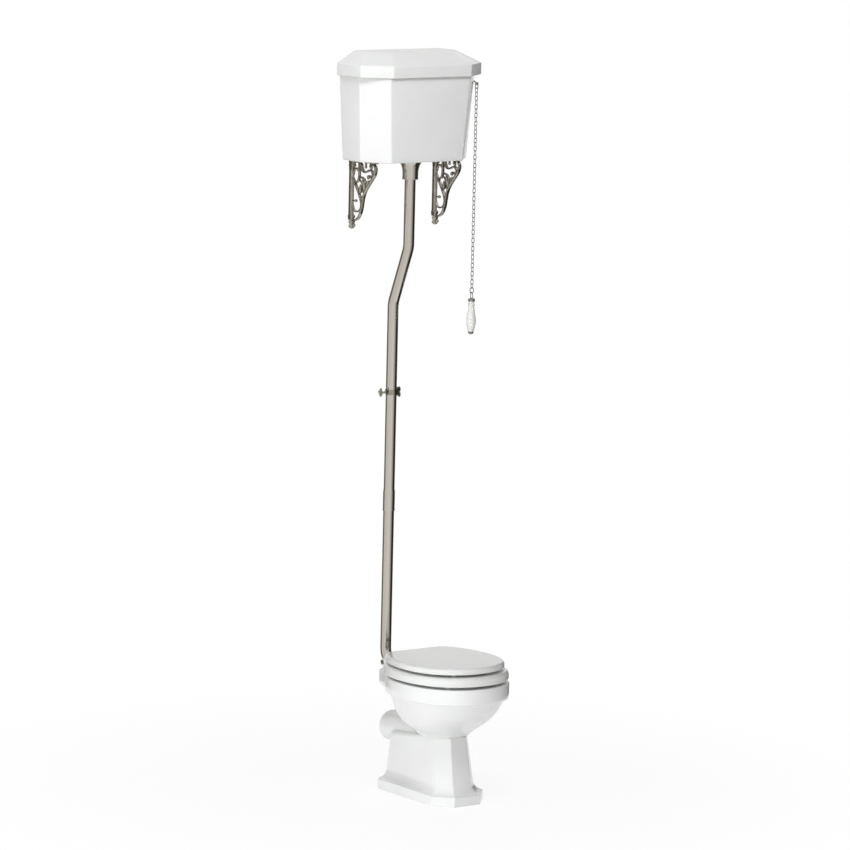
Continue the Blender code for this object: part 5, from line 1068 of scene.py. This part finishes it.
def makeBracket(side, label):
    # Scrolls and balls in one plane, a reeded column at the wall with its capital and foot, the
    # shelf under the cistern and three leaves on each face
    x, top = side * bracket["x"], bracket["top"]
    shells = [scrollBar(points, width, deep, x) for points, width, deep in scrolls.values()]
    shells += [ballAt((x, depth, top + fall), r, 16) for depth, fall, r in scrollBalls]
    column = rounded([(x - 6.6, 0.4), (x + 6.6, 0.4), (x + 6.6, 12), (x + 4.2, 18.4), (x - 4.2, 18.4), (x - 6.6, 12)],
                     [0.6, 0.6, 2.5, 3, 3, 2.5], 5)
    shells.append(plate(column, top - 206, top - 2, 1.0))
    shells.append(along([(18.6, top - z) for z in (200, 120, 30)], "side", x, ringSection(2.0, 1.8, 12)))
    shelf = rounded([(x - 12, 0.4), (x + 12, 0.4), (x + 12, 140), (x + 7, 156), (x, 168.4), (x - 7, 156),
                     (x - 12, 140)], [1, 1, 14, 10, 4, 10, 14], 6)
    shells.append(plate(shelf, top - 4.2, top, 1.4, 0.8))
    # Mouldings: four of the capital, two of the foot
    for low, high, wide, reach, corner, edge in (
            (-11, -3.6, 9.2, 26, 4, 2.0), (-17, -10.4, 8.2, 23.5, 4, 2.0), (-24, -16.4, 8.9, 25, 4, 2.0),
            (-36, -23.4, 7.4, 20.6, 4, 2.0), (-200, -190, 8.8, 24, 5, 2.4), (-207, -199, 7.6, 21, 5, 2.4)):
        block = rounded([(x - wide, 0.5), (x + wide, 0.5), (x + wide, reach), (x - wide, reach)],
                        [0.6, 0.6, corner, corner], 5)
        shells.append(plate(block, top + low, top + high, edge))
    # Bud and tip of the foot
    bud = spline([(4.0, -205), (9.6, -208), (11.6, -213.5), (9.0, -219.5), (8.2, -222), (11.2, -226.5), (9.6, -232.5),
                  (5.0, -236), (0.01, -237.6)], 30)
    bud[-1, 0] = 0
    shells += [lathe(np.vstack([[(0, top - 205)], bud + (0, top)]), (x, 13.0, 0), "z", 28, False, 6, 0.06),
               ballAt((x, 26, top - 224), 6.0, 14),
               scrollBar([(12, -214), (20, -215), (24, -219)], 0.5, (0.9, 0.8, 0.6), x)]
    # Leaves: depth, fall, length, half width and lean in degrees
    shells += [leafShell(x, depth, top + fall, length, width, math.radians(lean), face) for face in (-1, 1)
               for depth, fall, length, width, lean in ((92, -108, 46, 8.5, 108), (60, -112, 34, 6.5, 76),
                                                        (100, -92, 34, 6.0, 66))]
    makePiece("bracket_" + label + "_scroll", shells, "castNickel", "fixture", ["bracket_" + label], 40)


makeBracket(-1, "left")
makeBracket(1, "right")


def screwHead(centre, radius, height, axis, reach, shank):
    # Dome (radius x cos t, height x (0.25 + 0.75 sin t)) on a plain shank
    t = np.linspace(0, math.pi / 2, 8)
    dome = np.stack([radius * np.cos(t), height * (0.25 + 0.75 * np.sin(t))], -1)
    dome[-1, 0] = 0
    profile = np.vstack([[(0, -reach), (shank, -reach), (shank, 0), (radius, 0)], dome])
    return lathe(profile, centre, axis, 28)


for node in [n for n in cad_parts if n.startswith("bracket_screw")]:
    x, _, z = cadSpan(node)[2]
    makePiece("head_" + node, [screwHead((x, 20.3, z), 4.9, 2.8, "depth", 20, 2.5)], "castNickel", "fixture", [node])
print("brackets made")


# ---- lever, chain and handle

pull = {"x": 269.5, "depth": 107.0, "wire": 1.2, "linkHalf": 6.3, "hookRadius": 8.0, "handleTop": 1679.0,
        "eye": 2420.0, "pivot": (205, 0, 2436), "chainLow": 1714.0, "pitch": 14.4}


def stadium(half, length, count=28):
    # Oval loop: two half circles of a radius, joined by straight sides
    t = np.arange(count) * full / count
    return np.stack([half * np.cos(t), half * np.sin(t) + np.sign(np.sin(t)) * (length - half)], -1)


def loopShell(half, length, wire, z, plane, count=28, sides=10):
    # Round wire along an oval loop that hangs in the chain's line
    across, off = {"front": (pull["x"], pull["depth"]), "side": (pull["depth"], pull["x"])}[plane]
    return along(stadium(half, length, count) + (across, z), plane, off, ringSection(wire, wire, sides), closed=True)


def turned(profile, steps=40):
    # Profile turned round the chain's line
    return lathe(profile, (pull["x"], pull["depth"], 0), "z", steps)


def makeChain():
    # Link i hangs at top - pitch x (i + 0.5), each a quarter turn from the one before
    p = pull
    wire, radius, low = p["wire"], p["hookRadius"], p["chainLow"]
    hookZ = p["eye"] - 2.6 - radius + wire * 1.5
    top = hookZ - radius * 1.15 + wire * 2.2 + 0.3
    count = 2 * round((top - low) / p["pitch"] / 2)
    pitch = (top - low) / count
    makePiece("chainHook", [loopShell(radius, radius * 1.15, 1.5, hookZ, "side", 36, 12)], "chainNickel", "hook",
              ["chain_hook"])
    shells = [loopShell(p["linkHalf"] - wire, pitch / 2 + wire * 0.9, wire, top - pitch * (i + 0.5),
                        "side" if i % 2 else "front") for i in range(count)]
    makePiece("pullChain", shells, "chainNickel", "pull", ["pull_chain"])
    ringZ = low - 10 + wire * 1.75 + 0.3
    makePiece("handleRing", [loopShell(7.4, 10, 1.44, ringZ, "front", 36, 12)], "chainNickel", "pull", ["handle_ring"])
    eyeHigh = ringZ - 10
    half = (eyeHigh - p["handleTop"]) / 2 + wire * 2.8
    cap = [(0, 1681.2), (4.6, 1680.6), (6.2, 1679.4), (9.4, 1678.2), (11.4, 1676.8), (12, 1675.2), (12, 1672.4),
           (11.2, 1671.6), (11.7, 1670.6), (11.7, 1669.4), (11, 1669), (0, 1669)]
    makePiece("handleCap", [loopShell(6.0, half, 1.44, (eyeHigh + p["handleTop"]) / 2, "side", 36, 12), turned(cap)],
              "chainNickel", "pull", ["handle_cap"])


def makeHandle():
    # Radius and height of the turned handle, from under its cap to its foot, then of its tip
    profile = spline([(10.2, 1668.7), (11.4, 1667.2), (11.6, 1665.0), (10.0, 1663.0), (9.6, 1661.8), (11.4, 1660.0),
                      (12.0, 1657.4), (11.2, 1654.8), (10.3, 1653.2), (10.4, 1650.0), (11.0, 1643.0), (12.1, 1635.0),
                      (13.5, 1627.0), (15.0, 1617.0), (16.3, 1608.5), (16.9, 1600.5), (16.7, 1594.0), (15.7, 1587.0),
                      (14.1, 1579.5), (12.4, 1572.6), (11.0, 1567.4), (10.0, 1564.0)], 110)
    makePiece("pullHandle", [turned(np.vstack([[(0, 1668.7)], profile, [(0, 1564.0)]]), 56)], "porcelain", "pull",
              ["pull_handle"], 60)
    cup = spline([(10.0, 1563.2), (9.7, 1560.4), (8.5, 1557.6), (6.2, 1555.0), (3.4, 1553.6)], 16)
    tip = np.vstack([[(0, 1564.3), (9.6, 1564.3), (10.1, 1563.8)], cup, [(0, 1553.2)]])
    makePiece("handleTip", [turned(tip)], "chainNickel", "pull", ["handle_finial"])


makeChain()
makeHandle()


def makeLever():
    # Flat bar from the siphon's strap through the tank's slot, turned down along a spline to the
    # eye outside, with a boss round its pin
    p = pull
    path = np.vstack([np.linspace((-73.6, 2436), (236, 2436), 30),
                      spline([(240, 2436), (246, 2435), (253, 2431.6), (260, 2427), (266, 2422.8)], 18)])
    bar = along(path, "front", p["depth"], ringSection(2.5, 3.5, 16, 5.0))
    low, high = p["depth"] - 3.5, p["depth"] + 3.5
    eyeBore = [(2.75, high), (2.6, high - 1), (2.6, low + 1), (2.75, low)]
    eye = eyeShell((p["x"], 0, p["eye"]), "depth", 5.5, low, high, 1, eyeBore, count=36)
    boss = eyeShell(p["pivot"], "depth", 6.2, low, high, 1, [(2.7, high), (2.7, low)], count=36)
    makePiece("flushLever", [bar, eye, boss], "nickel", "lever", ["flush_lever"])


makeLever()
print("lever, chain and handle made")


# ---- small fittings and the works inside the cistern

def makeFittings():
    # Domed screws in the place of the CAD screws
    for i in range(1, 5):
        x, depth, _ = cadSpan(f"floor_screw_{i}")[2]
        makePiece(f"floorScrew_{i}", [screwHead((x, depth, 35.3), 6.9, 3.9, "z", 34.9, 3.1)], "nickel", "fixture",
                  [f"floor_screw_{i}"])
    for label in ("left", "right"):
        x, _, z = cadSpan("tank_screw_" + label)[2]
        makePiece("tankScrew_" + label, [screwHead((x, 24.3, z), 7.4, 3.9, "depth", 24, 2.5)], "brass", "fixture",
                  ["tank_screw_" + label])


makeFittings()

keep = {"siphon": "plastic", "lift_rod": "brass", "lever_fulcrum": "brass", "lever_pin": "brass",
        "float_valve": "brass", "inlet_nut": "brass", "float_pin": "brass", "float_arm": "brass",
        "float_ball": "plastic"}
for node, finish in keep.items():
    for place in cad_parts[node].material_slots:
        place.material = finishes[finish]
print("fittings made")


# ---- floor, backdrop colour and light

studio = {"floorColour": (0.93, 0.93, 0.93), "world": 0.23, "wallRadius": 1.6, "wallTop": 2.9,
          "lamps": (("sideLamp", (-6.0, 0.4, 2.4), (0, 0, 1.3), 3.0, 3.0, 126),
                    ("browLamp", (-1.3, -2.2, 4.7), (0, 0, 2.4), 1.4, 1.4, 82),
                    ("nearLamp", (-1.9, -2.3, 0.24), (0, -0.25, 0.4), 1.6, 0.36, 27),
                    ("backLamp", (3.6, 6.0, 3.4), (0, 0, 1.2), 3.0, 3.0, 170),
                    ("rightLamp", (6.5, 0.8, 3.0), (0, 0, 1.3), 3.0, 3.0, 26))}


def shaderFor(made):
    # The node tree of a material or the world, with the shader that it starts with
    made.use_nodes = True
    tree = made.node_tree
    return tree, tree.nodes.get("Principled BSDF") or tree.nodes["Background"]


def maths(tree, kind, operation, *values):
    # A node that works out one value from other nodes' outputs
    node = tree.nodes.new(kind)
    node.operation = operation
    for value, socket in zip(values, node.inputs):
        tree.links.new(value, socket)
    return node.outputs["Value"]


def mixShaders(tree, share, first, second, output):
    # The first shader where the share is 0, the second where it is 1
    mix = tree.nodes.new("ShaderNodeMixShader")
    for value, socket in zip((share, first.outputs[0], second.outputs[0]), mix.inputs):
        tree.links.new(value, socket)
    tree.links.new(mix.outputs[0], tree.nodes[output].inputs["Surface"])


def straightRays(tree):
    # 1 for the camera's rays and for those that a mirror or glass sends on, 0 for the light's own
    light = tree.nodes.new("ShaderNodeLightPath").outputs
    seen = light["Is Camera Ray"]
    for other in ("Is Glossy Ray", "Is Transmission Ray"):
        seen = maths(tree, "ShaderNodeMath", "MAXIMUM", seen, light[other])
    return seen


def floorFinish(s):
    # Plain paper: white to the camera, a little less so near the object, where its shadow falls
    paint = bpy.data.materials.new("studioPaper")
    tree, shader = shaderFor(paint)
    shader.inputs["Base Color"].default_value = (*s["floorColour"], 1)
    shader.inputs["Roughness"].default_value = 0.9
    glow = addNode(tree, "ShaderNodeEmission", Strength=1.0)
    length = maths(tree, "ShaderNodeVectorMath", "LENGTH", stretched(tree, (1, 1, 1)))
    share = ranged(tree, length, 0.9, 1.0, 0.5, 1.8)
    seen = maths(tree, "ShaderNodeMath", "MULTIPLY", straightRays(tree), share)
    mixShaders(tree, seen, shader, glow, "Material Output")
    return paint


def wallFinish(shades):
    # Brightness of the studio's surroundings by direction: the angle round the object picks a shade
    paint = bpy.data.materials.new("studioSurroundings")
    tree, _ = shaderFor(paint)
    place = tree.nodes.new("ShaderNodeTexCoord").outputs["Object"]
    split = addNode(tree, "ShaderNodeSeparateXYZ", Vector=place).outputs
    angle = maths(tree, "ShaderNodeMath", "ARCTAN2", split["Y"], split["X"])
    ramp = tree.nodes.new("ShaderNodeValToRGB")
    stops = ramp.color_ramp.elements
    while len(stops) < len(shades):
        stops.new(0.5)
    for stop, (degrees, shade) in zip(stops, shades):
        stop.position = (degrees + 180) / 360
        stop.color = (*shade, 1)
    tree.links.new(ranged(tree, angle, 0, 1, -math.pi, math.pi), ramp.inputs[0])
    glow = addNode(tree, "ShaderNodeEmission", Color=ramp.outputs[0], Strength=1.0)
    tree.links.new(glow.outputs[0], tree.nodes["Material Output"].inputs["Surface"])
    return paint


# Degrees round the object from +X, and the shade that a polished surface sees there. The camera
# stands at -125 degrees; angles above that turn to its right.
surroundShades = ((-180, (0.86, 0.855, 0.84)), (-100, (0.95, 0.95, 0.94)), (-76, (0.62, 0.60, 0.57)),
                  (-54, (0.40, 0.38, 0.35)), (-47, (0.04, 0.035, 0.03)), (22, (0.04, 0.035, 0.03)),
                  (34, (0.80, 0.80, 0.79)), (74, (0.80, 0.80, 0.79)), (84, (0.30, 0.28, 0.26)),
                  (100, (0.18, 0.17, 0.15)), (132, (0.20, 0.18, 0.16)), (145, (0.84, 0.835, 0.82)),
                  (180, (0.86, 0.855, 0.84)))


def makeStudio(s):
    # A floor, an open drum of radius x (cos t, sin t) that only reflections see, and an even sky
    reach, count = 14, 96
    corners = [(x, y, 0) for x, y in ((-reach, -reach), (reach, -reach), (reach, reach), (-reach, reach))]
    mesh = bpy.data.meshes.new("studioFloor")
    mesh.from_pydata(corners, [], [(0, 1, 2, 3)])
    mesh.materials.append(floorFinish(s))
    ring = around((0, 0), s["wallRadius"], np.arange(count) * full / count)
    verts = np.vstack([np.column_stack([ring, np.full(count, z)]) for z in (0.02, s["wallTop"])])
    i = np.arange(count)
    nextI = (i + 1) % count
    drum = bpy.data.meshes.new("studioSurroundings")
    drum.from_pydata(verts.tolist(), [], np.stack([nextI, i, i + count, nextI + count], -1).tolist())
    drum.materials.append(wallFinish(surroundShades))
    floor, wall = inScene("studioFloor", mesh), inScene("studioSurroundings", drum)
    wall.visible_camera = wall.visible_diffuse = wall.visible_shadow = wall.visible_transmission = False
    world = bpy.data.worlds.new("studioSky")
    bpy.context.scene.world = world
    tree, sky = shaderFor(world)
    white = (1, 1, 1, 1)
    glow = addNode(tree, "ShaderNodeBackground", Color=white, Strength=1.0)
    sky.inputs["Color"].default_value = white
    sky.inputs["Strength"].default_value = s["world"]
    mixShaders(tree, straightRays(tree), sky, glow, "World Output")


def addLamp(name, place, target, width, height, power):
    # Rectangular lamp whose back points away from its target
    data = bpy.data.lights.new(name, "AREA")
    data.shape = "RECTANGLE"
    data.size, data.size_y, data.energy = width, height, power
    lamp = inScene(name, data)
    back = np.subtract(place, target)
    back = back / np.linalg.norm(back)
    right = np.cross((0, 0, 1), back)
    right = right / np.linalg.norm(right)
    standAt(lamp, right, np.cross(back, right), back, place)
    lamp.visible_camera = lamp.visible_glossy = False


makeStudio(studio)
for lamp in studio["lamps"]:
    addLamp(*lamp)
print("studio made")
